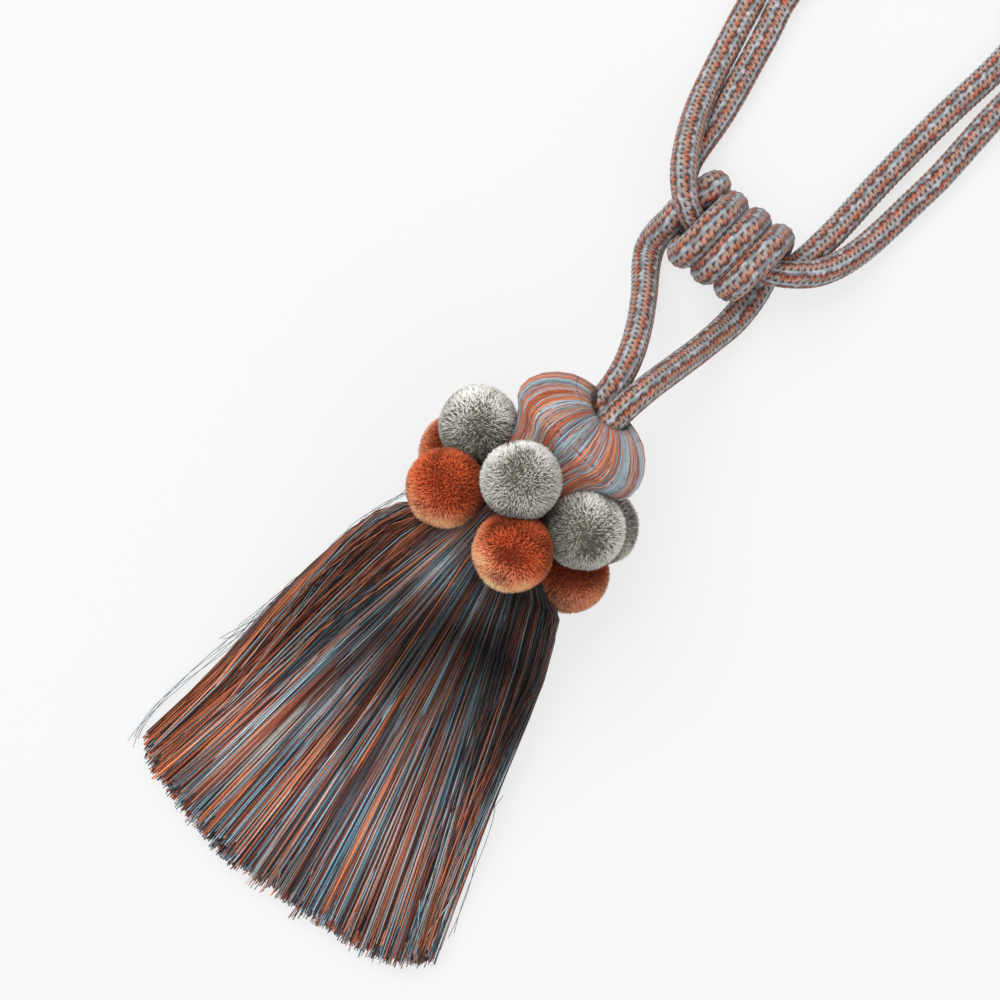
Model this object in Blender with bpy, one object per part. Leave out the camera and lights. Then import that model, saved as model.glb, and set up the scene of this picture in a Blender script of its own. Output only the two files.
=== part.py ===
"""Curtain tieback tassel, lying on a table.

It is built the way it is made: a turned head covered in thread, a skirt of cut locks
on its neck, two rings of five pompons, and a hanger cord that leaves the head twice
and is wound four times round a doubled embrace cord. The embrace cord ends in a plain
loop on either side, which the real tieback slips over a wall hook.

All lengths are metres. +Z is up, the table is z = 0, and the hem points to -Y.
"""

import math
import random
from collections import namedtuple

import bmesh
import bpy
from mathutils import Matrix, Vector

# ---- driving dimensions -------------------------------------------------------------

CORD = 0.0094  # thickness of both cords
CORD_GAP = 0.00025  # room between two strands that lie against each other
TURN_PITCH = 0.01005  # from one wound turn to the next
POMPON_RADIUS = 0.0142
NECK_RADIUS = 0.0123
SEAT_GAP = 0.0003  # between two pieces that touch
TABLE_CENTRE = Vector((0.0056, 0.0161, 0.0))  # the middle of the whole object's footprint

# The knot: both strands of the embrace lie one over the other, leaning, inside it.
KNOT = Vector((-0.0035, 0.0714))  # its middle on the table, x and y
STRAND_LEAN = math.radians(66)  # how steeply the upper strand stands over the lower
TURN_STEP = math.radians(22.5)
WOUND_TURNS = 3  # full turns; the first, over one strand alone, is part of the route
FIRST_UNDERSIDE = -2  # where those turns start, in pitches from the knot's middle
STRAND_SPACING = CORD + CORD_GAP
TURN_RADIUS = CORD + CORD_GAP  # from a strand's middle to the middle of a turn on it

# The head's own frame: its middle is on the neck, where the upper ring of pompons is.
NECK_MIDDLE = Vector((-0.0070, -0.0396, 0.0394))
HEAD_YAW = math.radians(10)  # the head is turned to the right of the skirt
HEAD_PITCH = math.radians(6.7)  # and leans back on its pompons

# ---- the cords' routes --------------------------------------------------------------
# Each point is where the middle of the cord goes. squeeze is the cord's thickness
# there, as a share of its own: the cords are pulled tight where they cross in the knot.

RoutePoint = namedtuple("RoutePoint", "x y z squeeze")
LYING = CORD / 2  # height of a cord's middle where it lies on the table

LEFT_LEG = (
    RoutePoint(-0.0051, -0.0090, 0.0395, 1.0),
    RoutePoint(-0.0042, -0.0036, 0.0403, 1.0),
    RoutePoint(-0.0039, 0.0026, 0.0401, 1.0),
    RoutePoint(-0.0041, 0.0092, 0.0377, 1.0),
    RoutePoint(-0.0054, 0.0168, 0.0330, 1.0),
    RoutePoint(-0.0084, 0.0262, 0.0258, 1.0),
    RoutePoint(-0.0129, 0.0362, 0.0174, 1.0),
    RoutePoint(-0.0174, 0.0454, 0.0102, 1.0),
    RoutePoint(-0.0210, 0.0526, 0.0060, 1.0),
    RoutePoint(-0.0228, 0.0574, 0.0056, 1.0),
)
# Under the upper strand, over the lower one and down its far side.
FIRST_TURN = (
    RoutePoint(-0.0234, 0.0606, 0.0078, 1.0),
    RoutePoint(-0.0233, 0.0634, 0.0122, 0.97),
    RoutePoint(-0.0227, 0.0664, 0.0170, 0.94),
    RoutePoint(-0.0222, 0.0702, 0.0202, 0.91),
    RoutePoint(-0.0212, 0.0747, 0.0221, 0.91),
    RoutePoint(-0.0189, 0.0795, 0.0230, 0.96),
    RoutePoint(-0.0174, 0.0837, 0.0204, 1.0),
    RoutePoint(-0.0166, 0.0856, 0.0150, 1.0),
    RoutePoint(-0.0158, 0.0845, 0.0096, 1.0),
    RoutePoint(-0.0151, 0.0812, 0.0060, 1.0),
    RoutePoint(-0.0142, 0.0762, LYING, 1.0),
)
RIGHT_LEG = (
    RoutePoint(0.0179, 0.0660, LYING, 1.0),
    RoutePoint(0.0182, 0.0596, LYING, 1.0),
    RoutePoint(0.0178, 0.0528, 0.0048, 1.0),
    RoutePoint(0.0166, 0.0454, 0.0068, 1.0),
    RoutePoint(0.0142, 0.0354, 0.0140, 1.0),
    RoutePoint(0.0113, 0.0260, 0.0236, 1.0),
    RoutePoint(0.0085, 0.0174, 0.0332, 1.0),
    RoutePoint(0.0060, 0.0094, 0.0418, 1.0),
    RoutePoint(0.0043, 0.0028, 0.0460, 1.0),
    RoutePoint(0.0030, -0.0034, 0.0470, 1.0),
    RoutePoint(0.0019, -0.0092, 0.0466, 1.0),
)
KNOT_LOWER = (
    RoutePoint(-0.0033, 0.0734, 0.0143, 0.98),
    RoutePoint(0.0030, 0.0734, 0.0143, 0.98),
    RoutePoint(0.0090, 0.0733, 0.0143, 0.97),
    RoutePoint(0.0148, 0.0734, 0.0142, 0.94),
    RoutePoint(0.0198, 0.0740, 0.0136, 0.93),
)
RIGHT_ARM_INNER = (
    RoutePoint(0.0238, 0.0768, 0.0120, 0.96),
    RoutePoint(0.0260, 0.0824, 0.0102, 1.0),
    RoutePoint(0.0274, 0.0890, 0.0082, 1.0),
    RoutePoint(0.0287, 0.0960, 0.0062, 1.0),
    RoutePoint(0.0298, 0.1044, 0.0049, 1.0),
    RoutePoint(0.0312, 0.1164, LYING, 1.0),
    RoutePoint(0.0336, 0.1332, LYING, 1.0),
    RoutePoint(0.0372, 0.1550, LYING, 1.0),
    RoutePoint(0.0420, 0.1790, LYING, 1.0),
)
RIGHT_LOOP = (
    RoutePoint(0.0428, 0.1905, LYING, 1.0),
    RoutePoint(0.0406, 0.2020, LYING, 1.0),
    RoutePoint(0.0376, 0.2125, LYING, 1.0),
    RoutePoint(0.0376, 0.2235, LYING, 1.0),
    RoutePoint(0.0424, 0.2336, LYING, 1.0),
    RoutePoint(0.0520, 0.2396, LYING, 1.0),
    RoutePoint(0.0634, 0.2392, LYING, 1.0),
    RoutePoint(0.0726, 0.2324, LYING, 1.0),
    RoutePoint(0.0762, 0.2214, LYING, 1.0),
    RoutePoint(0.0740, 0.2096, LYING, 1.0),
    RoutePoint(0.0672, 0.1990, LYING, 1.0),
    RoutePoint(0.0592, 0.1888, LYING, 1.0),
    RoutePoint(0.0540, 0.1770, LYING, 1.0),
)
RIGHT_ARM_OUTER = (
    RoutePoint(0.0515, 0.1648, LYING, 1.0),
    RoutePoint(0.0497, 0.1494, LYING, 1.0),
    RoutePoint(0.0480, 0.1340, LYING, 1.0),
    RoutePoint(0.0453, 0.1196, LYING, 1.0),
    RoutePoint(0.0428, 0.1066, 0.0056, 1.0),
    RoutePoint(0.0398, 0.0950, 0.0092, 1.0),
    RoutePoint(0.0358, 0.0854, 0.0142, 1.0),
    RoutePoint(0.0306, 0.0780, 0.0188, 1.0),
    RoutePoint(0.0249, 0.0735, 0.0215, 1.0),
    RoutePoint(0.0194, 0.0708, 0.0224, 0.97),
)
KNOT_UPPER = (
    RoutePoint(0.0142, 0.0696, 0.0229, 0.96),
    RoutePoint(0.0090, 0.0693, 0.0231, 0.97),
    RoutePoint(0.0030, 0.0694, 0.0232, 0.98),
    RoutePoint(-0.0030, 0.0694, 0.0232, 0.98),
    RoutePoint(-0.0086, 0.0694, 0.0230, 0.93),
    RoutePoint(-0.0120, 0.0693, 0.0239, 0.91),
    RoutePoint(-0.0146, 0.0696, 0.0259, 0.89),
    RoutePoint(-0.0169, 0.0703, 0.0291, 0.89),
)
LEFT_ARM_OUTER = (
    RoutePoint(-0.0198, 0.0718, 0.0318, 0.92),
    RoutePoint(-0.0231, 0.0746, 0.0326, 0.95),
    RoutePoint(-0.0268, 0.0792, 0.0302, 1.0),
    RoutePoint(-0.0302, 0.0852, 0.0250, 1.0),
    RoutePoint(-0.0333, 0.0926, 0.0184, 1.0),
    RoutePoint(-0.0360, 0.1008, 0.0122, 1.0),
    RoutePoint(-0.0380, 0.1096, 0.0078, 1.0),
    RoutePoint(-0.0395, 0.1186, 0.0054, 1.0),
    RoutePoint(-0.0409, 0.1278, LYING, 1.0),
    RoutePoint(-0.0423, 0.1375, LYING, 1.0),
    RoutePoint(-0.0439, 0.1490, LYING, 1.0),
)
LEFT_LOOP = (
    RoutePoint(-0.0470, 0.1605, LYING, 1.0),
    RoutePoint(-0.0536, 0.1712, LYING, 1.0),
    RoutePoint(-0.0608, 0.1816, LYING, 1.0),
    RoutePoint(-0.0647, 0.1932, LYING, 1.0),
    RoutePoint(-0.0622, 0.2052, LYING, 1.0),
    RoutePoint(-0.0534, 0.2134, LYING, 1.0),
    RoutePoint(-0.0414, 0.2146, LYING, 1.0),
    RoutePoint(-0.0312, 0.2082, LYING, 1.0),
    RoutePoint(-0.0266, 0.1972, LYING, 1.0),
    RoutePoint(-0.0276, 0.1852, LYING, 1.0),
    RoutePoint(-0.0312, 0.1740, LYING, 1.0),
    RoutePoint(-0.0338, 0.1634, LYING, 1.0),
)
LEFT_ARM_INNER = (
    RoutePoint(-0.0342, 0.1525, LYING, 1.0),
    RoutePoint(-0.0323, 0.1404, LYING, 1.0),
    RoutePoint(-0.0308, 0.1278, LYING, 1.0),
    RoutePoint(-0.0294, 0.1160, LYING, 1.0),
    RoutePoint(-0.0286, 0.1040, 0.0048, 1.0),
    RoutePoint(-0.0286, 0.0950, 0.0064, 1.0),
    RoutePoint(-0.0282, 0.0870, 0.0086, 1.0),
    RoutePoint(-0.0260, 0.0808, 0.0108, 0.97),
    RoutePoint(-0.0218, 0.0768, 0.0126, 0.93),
    RoutePoint(-0.0176, 0.0748, 0.0136, 0.91),
    RoutePoint(-0.0130, 0.0738, 0.0141, 0.93),
    RoutePoint(-0.0086, 0.0734, 0.0143, 0.97),
    RoutePoint(-0.0036, 0.0734, 0.0143, 0.98),
)
EMBRACE_ROUTE = (
    KNOT_LOWER
    + RIGHT_ARM_INNER
    + RIGHT_LOOP
    + RIGHT_ARM_OUTER
    + KNOT_UPPER
    + LEFT_ARM_OUTER
    + LEFT_LOOP
    + LEFT_ARM_INNER
)

# ---- the pompons --------------------------------------------------------------------

Pompon = namedtuple("Pompon", "name x y z")

POMPONS = (
    Pompon("pompon_grey_1", -0.0342, -0.0344, 0.0410),
    Pompon("pompon_grey_2", -0.0109, -0.0419, 0.0660),
    Pompon("pompon_grey_3", 0.0167, -0.0427, 0.0520),
    Pompon("pompon_grey_4", 0.0213, -0.0384, 0.0180),
    Pompon("pompon_grey_5", -0.0120, -0.0385, 0.0132),
    Pompon("pompon_rust_1", -0.0308, -0.0589, 0.0490),
    Pompon("pompon_rust_2", -0.0350, -0.0460, 0.0170),
    Pompon("pompon_rust_3", 0.0008, -0.0631, 0.0630),
    Pompon("pompon_rust_4", 0.0218, -0.0582, 0.0320),
    Pompon("pompon_rust_5", 0.0040, -0.0575, 0.0132),
)
GROOVE_DEPTH = 0.30  # how far in the locks of a pompon part, as a share of its radius
LOCK_MARGIN = 0.10  # half of the parting between two locks, as a share of a lock
LUMP = 0.035  # how unevenly the locks are clipped

# ---- the head -----------------------------------------------------------------------

ProfilePoint = namedtuple("ProfilePoint", "along radius")

HEAD_PROFILE = (
    ProfilePoint(-0.0060, NECK_RADIUS),
    ProfilePoint(0.0050, NECK_RADIUS + 0.0001),
    ProfilePoint(0.0090, 0.0140),
    ProfilePoint(0.0112, 0.0154),
    ProfilePoint(0.0132, 0.0173),
    ProfilePoint(0.0150, 0.0199),
    ProfilePoint(0.0165, 0.0231),
    ProfilePoint(0.0184, 0.0255),
    ProfilePoint(0.0216, 0.0267),
    ProfilePoint(0.0256, 0.0261),
    ProfilePoint(0.0290, 0.0244),
    ProfilePoint(0.0322, 0.0219),
    ProfilePoint(0.0350, 0.0188),
    ProfilePoint(0.0369, 0.0154),
    ProfilePoint(0.0375, 0.0130),
    ProfilePoint(0.0366, 0.0112),
    ProfilePoint(0.0344, 0.0103),
    ProfilePoint(0.0296, 0.0102),
)
# The same points on the upper side, where the thread runs down to the cord.
HEAD_PROFILE_ABOVE = (
    ProfilePoint(-0.0060, NECK_RADIUS),
    ProfilePoint(0.0050, NECK_RADIUS + 0.0001),
    ProfilePoint(0.0090, 0.0140),
    ProfilePoint(0.0112, 0.0154),
    ProfilePoint(0.0132, 0.0173),
    ProfilePoint(0.0150, 0.0199),
    ProfilePoint(0.0163, 0.0229),
    ProfilePoint(0.0178, 0.0251),
    ProfilePoint(0.0205, 0.0262),
    ProfilePoint(0.0236, 0.0250),
    ProfilePoint(0.0260, 0.0229),
    ProfilePoint(0.0281, 0.0202),
    ProfilePoint(0.0299, 0.0172),
    ProfilePoint(0.0313, 0.0142),
    ProfilePoint(0.0319, 0.0122),
    ProfilePoint(0.0316, 0.0110),
    ProfilePoint(0.0308, 0.0103),
    ProfilePoint(0.0296, 0.0102),
)
HEAD_SIDES = 32

# ---- the skirt ----------------------------------------------------------------------
# Its cross-section at some places along it. low and high are the heights of its
# underside and top in the middle, side_low and side_high the same at its two edges.

SkirtSection = namedtuple("SkirtSection", "y middle half_width low high side_low side_high")

SKIRT_SECTIONS = (
    SkirtSection(-0.0780, -0.0071, 0.0368, 0.0190, 0.0490, 0.0290, 0.0360),
    SkirtSection(-0.0990, -0.0065, 0.0452, 0.0060, 0.0410, 0.0080, 0.0180),
    SkirtSection(-0.1250, -0.0062, 0.0506, 0.0, 0.0320, 0.0, 0.0090),
    SkirtSection(-0.1600, -0.0040, 0.0572, 0.0, 0.0210, 0.0, 0.0065),
    SkirtSection(-0.2120, -0.0017, 0.0698, 0.0, 0.0092, 0.0, 0.0045),
)
CROWN_POWER = 2.4  # how squarely the skirt's top rounds off towards its edges
HEM_RISE = 0.0130  # the locks at the edges are that much shorter
HEM_RISE_POWER = 4
HEM_RAGGED = 0.0030
LOCK_COLUMNS = 29
LOCK_ROWS = 3
LOCK_FILL = 0.84  # a lock's thickness as a share of the room that it has

NeckSection = namedtuple("NeckSection", "x y z radius spread")

# From the neck, under the lower pompons, to the face that the locks grow from.
# spread goes from the round neck, 0, to the skirt's own first section, 1.
NECK_SECTIONS = (
    NeckSection(-0.0073, -0.0550, 0.0377, NECK_RADIUS, 0.0),
    NeckSection(-0.0064, -0.0650, 0.0366, NECK_RADIUS, 0.03),
    NeckSection(-0.0060, -0.0705, 0.0358, NECK_RADIUS, 0.16),
    NeckSection(-0.0056, -0.0742, 0.0350, NECK_RADIUS, 0.50),
    NeckSection(-0.0052, -0.0768, 0.0346, NECK_RADIUS, 0.86),
)

# ---- colours ------------------------------------------------------------------------

Fabric = namedtuple("Fabric", "name colour roughness")

BRAID = Fabric("blue_and_rust_braid", (0.34, 0.24, 0.22), 0.75)
HEAD_THREAD = Fabric("head_thread", (0.36, 0.20, 0.16), 0.45)
SKIRT_THREAD = Fabric("skirt_thread", (0.25, 0.13, 0.11), 0.50)
GREY_PILE = Fabric("grey_pile", (0.24, 0.23, 0.20), 0.95)
RUST_PILE = Fabric("rust_pile", (0.44, 0.10, 0.03), 0.95)


def clear_scene():
    for thing in list(bpy.data.objects):
        bpy.data.objects.remove(thing, do_unlink=True)


def material_of(fabric):
    """The fabric's material, made the first time that it is asked for."""
    material = bpy.data.materials.get(fabric.name)
    if material is None:
        material = bpy.data.materials.new(fabric.name)
        material.use_nodes = True
        shader = material.node_tree.nodes["Principled BSDF"]
        shader.inputs["Base Color"].default_value = (*fabric.colour, 1.0)
        shader.inputs["Roughness"].default_value = fabric.roughness
        shader.inputs["Metallic"].default_value = 0.0
    return material


def add_object(name, data, fabric):
    """An object in the scene, moved so that the whole part is centred on the origin."""
    thing = bpy.data.objects.new(name, data)
    thing.location = -TABLE_CENTRE
    data.materials.append(material_of(fabric))
    bpy.context.scene.collection.objects.link(thing)
    return thing


def add_mesh(name, bm, fabric):
    bmesh.ops.recalc_face_normals(bm, faces=bm.faces)
    mesh = bpy.data.meshes.new(name)
    bm.to_mesh(mesh)
    bm.free()
    mesh.shade_smooth()
    return add_object(name, mesh, fabric)


# ---- cords --------------------------------------------------------------------------

KNOT_SQUEEZE = 0.98
LONGEST_STEP = 0.012  # between two points of a cord's spline
SHARPEST_STEP = math.radians(19)  # the most that a cord turns from one to the next
FINE_STEP = 0.0006
CORD_SIDES_RESOLUTION = 3  # ten sides


def strand_middles():
    """Where the lower and the upper strand pass through the knot, as (y, z)."""
    lean = Vector((-math.cos(STRAND_LEAN), math.sin(STRAND_LEAN))) * STRAND_SPACING
    lower = Vector((KNOT.y - lean.x / 2, TURN_RADIUS + CORD / 2))
    return lower, lower + lean


def wound_point(turns):
    """A point on the wound cord that many turns on from the first underside.

    The turn rests on whichever strand stands out furthest on that side. It rises on
    the tassel's side, goes over both strands and comes down beyond them.
    """
    angle = 2 * math.pi * turns
    outward = Vector((-math.sin(angle), -math.cos(angle)))
    strand = max(strand_middles(), key=outward.dot)
    place = strand + outward * TURN_RADIUS
    along = KNOT.x + (FIRST_UNDERSIDE + 1 + turns) * TURN_PITCH
    return RoutePoint(along, place.x, place.y, KNOT_SQUEEZE)


def hanger_route():
    """The left leg, the first turn, the wound turns and the right leg."""
    steps = round(2 * math.pi * WOUND_TURNS / TURN_STEP)
    wound = tuple(wound_point(WOUND_TURNS * i / steps) for i in range(steps + 1))
    return LEFT_LEG + FIRST_TURN + wound + RIGHT_LEG


def smooth_stretch(before, start, end, after, steps):
    """Points from start up to, but not with, end on a centripetal Catmull-Rom curve."""
    points = (before, start, end, after)
    knots = [0.0]
    for a, b in zip(points, points[1:]):
        knots.append(knots[-1] + math.sqrt((b.xyz - a.xyz).length))

    def blend(a, b, i, j, t):
        return a + (b - a) * ((t - knots[i]) / (knots[j] - knots[i]))

    stretch = []
    for step in range(steps):
        t = knots[1] + (knots[2] - knots[1]) * step / steps
        first = blend(before, start, 0, 1, t)
        second = blend(start, end, 1, 2, t)
        third = blend(end, after, 2, 3, t)
        left = blend(first, second, 0, 2, t)
        right = blend(second, third, 1, 3, t)
        stretch.append(blend(left, right, 1, 2, t))
    return stretch


def smooth_route(route):
    """The route as a fine smooth curve, each point as (x, y, z, squeeze)."""
    points = [Vector(point) for point in route]
    points.insert(0, points[0] * 2 - points[1])
    points.append(points[-1] * 2 - points[-2])
    curve = []
    for i in range(1, len(points) - 2):
        steps = max(2, math.ceil((points[i + 1] - points[i]).length / FINE_STEP))
        curve += smooth_stretch(*points[i - 1 : i + 3], steps)
    curve.append(points[-2])
    for point in curve:
        point.z = max(point.z, LYING)
    return curve


def spline_points(route):
    """Points of the smooth route: far apart where it is straight, close in a bend."""
    curve = smooth_route(route)
    kept = [curve[0]]
    heading = (curve[1] - curve[0]).xyz
    for here, following in zip(curve[1:], curve[2:]):
        onward = (following - here).xyz
        far = (here.xyz - kept[-1].xyz).length >= LONGEST_STEP
        turned = heading.angle(onward) >= SHARPEST_STEP
        if far or turned:
            kept.append(here)
            heading = onward
    return kept + [curve[-1]]


def add_cord(name, route):
    """A cord as a bevelled curve along its route."""
    points = spline_points(route)
    curve = bpy.data.curves.new(name, "CURVE")
    curve.dimensions = "3D"
    curve.bevel_depth = CORD / 2
    curve.bevel_resolution = CORD_SIDES_RESOLUTION
    curve.use_fill_caps = True
    spline = curve.splines.new("POLY")
    spline.points.add(len(points) - 1)
    for spot, point in zip(spline.points, points):
        spot.co = (*point.xyz, 1.0)
        spot.radius = point.w
    spline.use_smooth = True
    return add_object(name, curve, BRAID)


# ---- head ---------------------------------------------------------------------------


def head_frame():
    """The head's axes: its own +Z runs from the neck out to the cords."""
    return Matrix.Rotation(-HEAD_YAW, 3, "Z") @ Matrix.Rotation(HEAD_PITCH - math.pi / 2, 3, "X")


def head_point(here, above, angle):
    """Where a profile point is at that angle, which is 0 on the upper side."""
    share = max(0.0, math.cos(angle))
    along = here.along + (above.along - here.along) * share
    radius = here.radius + (above.radius - here.radius) * share
    place = Vector((radius * math.sin(angle), -radius * math.cos(angle), along))
    return NECK_MIDDLE + head_frame() @ place


def add_head():
    """The mould and its neck, with a pocket where both ends of the cord sit."""
    bm = bmesh.new()
    rings = []
    for here, above in zip(HEAD_PROFILE, HEAD_PROFILE_ABOVE):
        angles = [2 * math.pi * side / HEAD_SIDES for side in range(HEAD_SIDES)]
        rings.append([bm.verts.new(head_point(here, above, angle)) for angle in angles])
    for ring, following in zip(rings, rings[1:]):
        bridge(bm, ring, following)
    bm.faces.new(rings[0])
    bm.faces.new(rings[-1])
    return add_mesh("head", bm, HEAD_THREAD)


# ---- skirt --------------------------------------------------------------------------


def skirt_section_at(y):
    """The skirt's cross-section at y, between the two sections beside it."""
    pairs = list(zip(SKIRT_SECTIONS, SKIRT_SECTIONS[1:]))
    first, second = next((pair for pair in pairs if y >= pair[1].y), pairs[-1])
    share = (y - first.y) / (second.y - first.y)
    return SkirtSection(*(a + (b - a) * share for a, b in zip(first, second)))


def skirt_point(section, across, up):
    """A point of the section: across goes from -1 to 1, up from 0 to 1."""
    crown = (1 - min(abs(across), 1) ** CROWN_POWER) ** (1 / CROWN_POWER)
    low = section.side_low + (section.low - section.side_low) * crown
    high = section.side_high + (section.high - section.side_high) * crown
    return Vector((section.middle + section.half_width * across, section.y, low + (high - low) * up))


def lock_corners():
    """Every lock's three corners, as (across, up): each cell of the grid holds two."""
    locks = []
    for column in range(LOCK_COLUMNS):
        left, right = (2 * (column + side) / LOCK_COLUMNS - 1 for side in (0, 1))
        for row in range(LOCK_ROWS):
            low, high = ((row + side) / LOCK_ROWS for side in (0, 1))
            cell = [(left, low), (right, low), (right, high), (left, high)]
            turn = (column + row) % 2
            cell = cell[turn:] + cell[:turn]
            locks.append((cell[0], cell[1], cell[2]))
            locks.append((cell[0], cell[2], cell[3]))
    return locks


def inset(corners):
    """The lock itself: its corners drawn in from the room that it has."""
    middle = [sum(values) / 3 for values in zip(*corners)]
    return [[m + (value - m) * LOCK_FILL for m, value in zip(middle, c)] for c in corners]


def lock_stations(across, chance):
    """The places along a lock, from its root to its cut end at the hem."""
    rise = HEM_RISE * abs(across) ** HEM_RISE_POWER + HEM_RAGGED * chance.uniform(-0.2, 1)
    return [section.y for section in SKIRT_SECTIONS[1:-1]] + [SKIRT_SECTIONS[-1].y + rise]


def border_cells():
    """The grid's outer corners in order, as (across, up)."""
    across = [2 * i / LOCK_COLUMNS - 1 for i in range(LOCK_COLUMNS + 1)]
    up = [j / LOCK_ROWS for j in range(LOCK_ROWS + 1)]
    border = [(a, 0.0) for a in across[:-1]] + [(1.0, u) for u in up[:-1]]
    return border + [(a, 1.0) for a in across[:0:-1]] + [(-1.0, u) for u in up[:0:-1]]


def neck_ring(bm, border, frame, middle, radius, spread):
    """One ring of the neck, between the round neck and the skirt's first section."""
    first = SKIRT_SECTIONS[0]
    centre = Vector((first.middle, 0.0, (first.low + first.high) / 2))
    ring = []
    for across, up in border:
        edge = skirt_point(first, across, up)
        flat = Vector((edge.x - centre.x, 0.0, edge.z - centre.z))
        half = Vector((first.half_width, 1.0, (first.high - first.low) / 2))
        angle = math.atan2(flat.z / half.z, flat.x / half.x)
        round_point = Vector((math.cos(angle), 0.0, math.sin(angle))) * radius
        ring.append(bm.verts.new(middle + frame @ round_point.lerp(flat, spread)))
    return ring


def bridge(bm, first, second):
    """Side faces between two closed rings of the same number of points."""
    for i, start in enumerate(first):
        following = (i + 1) % len(first)
        bm.faces.new((start, first[following], second[following], second[i]))


def grow_lock(bm, corners, root, chance):
    """One three-sided lock, from its root face to its cut end."""
    drawn_in = inset(corners)
    first = SKIRT_SECTIONS[0]
    ring = [bm.verts.new(skirt_point(first, *corner)) for corner in drawn_in]
    bridge(bm, root, ring)
    middle_across = sum(corner[0] for corner in corners) / 3
    # Beyond its root, a lock of the lowest row lies level on the skirt's underside.
    lying = [(c[0], c[1] if corner[1] > 0 else 0.0) for c, corner in zip(drawn_in, corners)]
    for y in lock_stations(middle_across, chance):
        section = skirt_section_at(y)
        following = [bm.verts.new(skirt_point(section, *corner)) for corner in lying]
        bridge(bm, ring, following)
        ring = following
    bm.faces.new(ring)


def add_skirt():
    """The neck's lower half and the locks that grow from it, as one piece."""
    chance = random.Random(5)
    bm = bmesh.new()
    first = SKIRT_SECTIONS[0]
    grid = {}
    locks = lock_corners()
    for corner in {corner for lock in locks for corner in lock}:
        grid[corner] = bm.verts.new(skirt_point(first, *corner))
    for lock in locks:
        grow_lock(bm, lock, [grid[corner] for corner in lock], chance)
    border = [min(grid, key=lambda c: abs(c[0] - b[0]) + abs(c[1] - b[1])) for b in border_cells()]
    ring = [grid[corner] for corner in border]
    straight = Matrix.Identity(3)
    turned = Matrix.Rotation(-HEAD_YAW, 3, "Z") @ Matrix.Rotation(HEAD_PITCH, 3, "X")
    for section in reversed(NECK_SECTIONS):
        middle = Vector((section.x, section.y, section.z))
        following = neck_ring(bm, border, straight, middle, section.radius, section.spread)
        bridge(bm, ring, following)
        ring = following
    seat = HEAD_PROFILE[0].along - SEAT_GAP
    middle = NECK_MIDDLE + head_frame() @ Vector((0.0, 0.0, seat))
    following = neck_ring(bm, border, turned, middle, NECK_RADIUS, 0.0)
    bridge(bm, ring, following)
    bm.faces.new(following)
    return add_mesh("skirt", bm, SKIRT_THREAD)


# ---- pompons ------------------------------------------------------------------------


def neck_middle_beside(place):
    """The neck's middle at the place's own y."""
    sections = [Vector((s.x, s.y, s.z)) for s in NECK_SECTIONS] + [NECK_MIDDLE]
    sections.sort(key=lambda middle: middle.y)
    for lower, upper in zip(sections, sections[1:]):
        if place.y <= upper.y:
            break
    return lower.lerp(upper, (place.y - lower.y) / (upper.y - lower.y))


def contacts(pompon):
    """The flats where a pompon is pressed, as (outward direction, distance)."""
    centre = Vector((pompon.x, pompon.y, pompon.z))
    flats = [(Vector((0.0, 0.0, -1.0)), centre.z)]
    to_neck = neck_middle_beside(centre) - centre
    flats.append((to_neck.normalized(), to_neck.length - NECK_RADIUS - SEAT_GAP))
    for other in POMPONS:
        away = Vector((other.x, other.y, other.z)) - centre
        if 0 < away.length < 2 * POMPON_RADIUS:
            flats.append((away.normalized(), (away.length - SEAT_GAP) / 2))
    return flats


def reach(direction, radius, flats):
    """How far the pile goes in that direction before it meets a flat."""
    for outward, distance in flats:
        lean = direction.dot(outward)
        if lean > 0:
            radius = min(radius, distance / lean)
    return radius


def lock_cells():
    """The twelve four-sided cells of a rhombic dodecahedron, as corner directions."""
    cells = []
    for axis in range(3):
        first, second = (axis + 1) % 3, (axis + 2) % 3
        for sign in ((1, 1), (-1, 1), (-1, -1), (1, -1)):
            tips = [Vector(), Vector()]
            tips[0][first], tips[1][second] = sign[0] * 2, sign[1] * 2
            sides = [Vector(), Vector()]
            for side, end in zip(sides, (-1, 1)):
                side[axis], side[first], side[second] = end, sign[0], sign[1]
            cells.append((tips[0], sides[0], tips[1], sides[1]))
    return cells


def on_cell(cell, s, t):
    """The direction at s and t, both from 0 to 1, across a four-cornered cell."""
    low, high = cell[0].lerp(cell[1], s), cell[3].lerp(cell[2], s)
    return low.lerp(high, t).normalized()


RIM = ((0, 0), (1, 0), (2, 0), (2, 1), (2, 2), (1, 2), (0, 2), (0, 1))
PLACES = (0.0, 0.5, 1.0)


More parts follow.
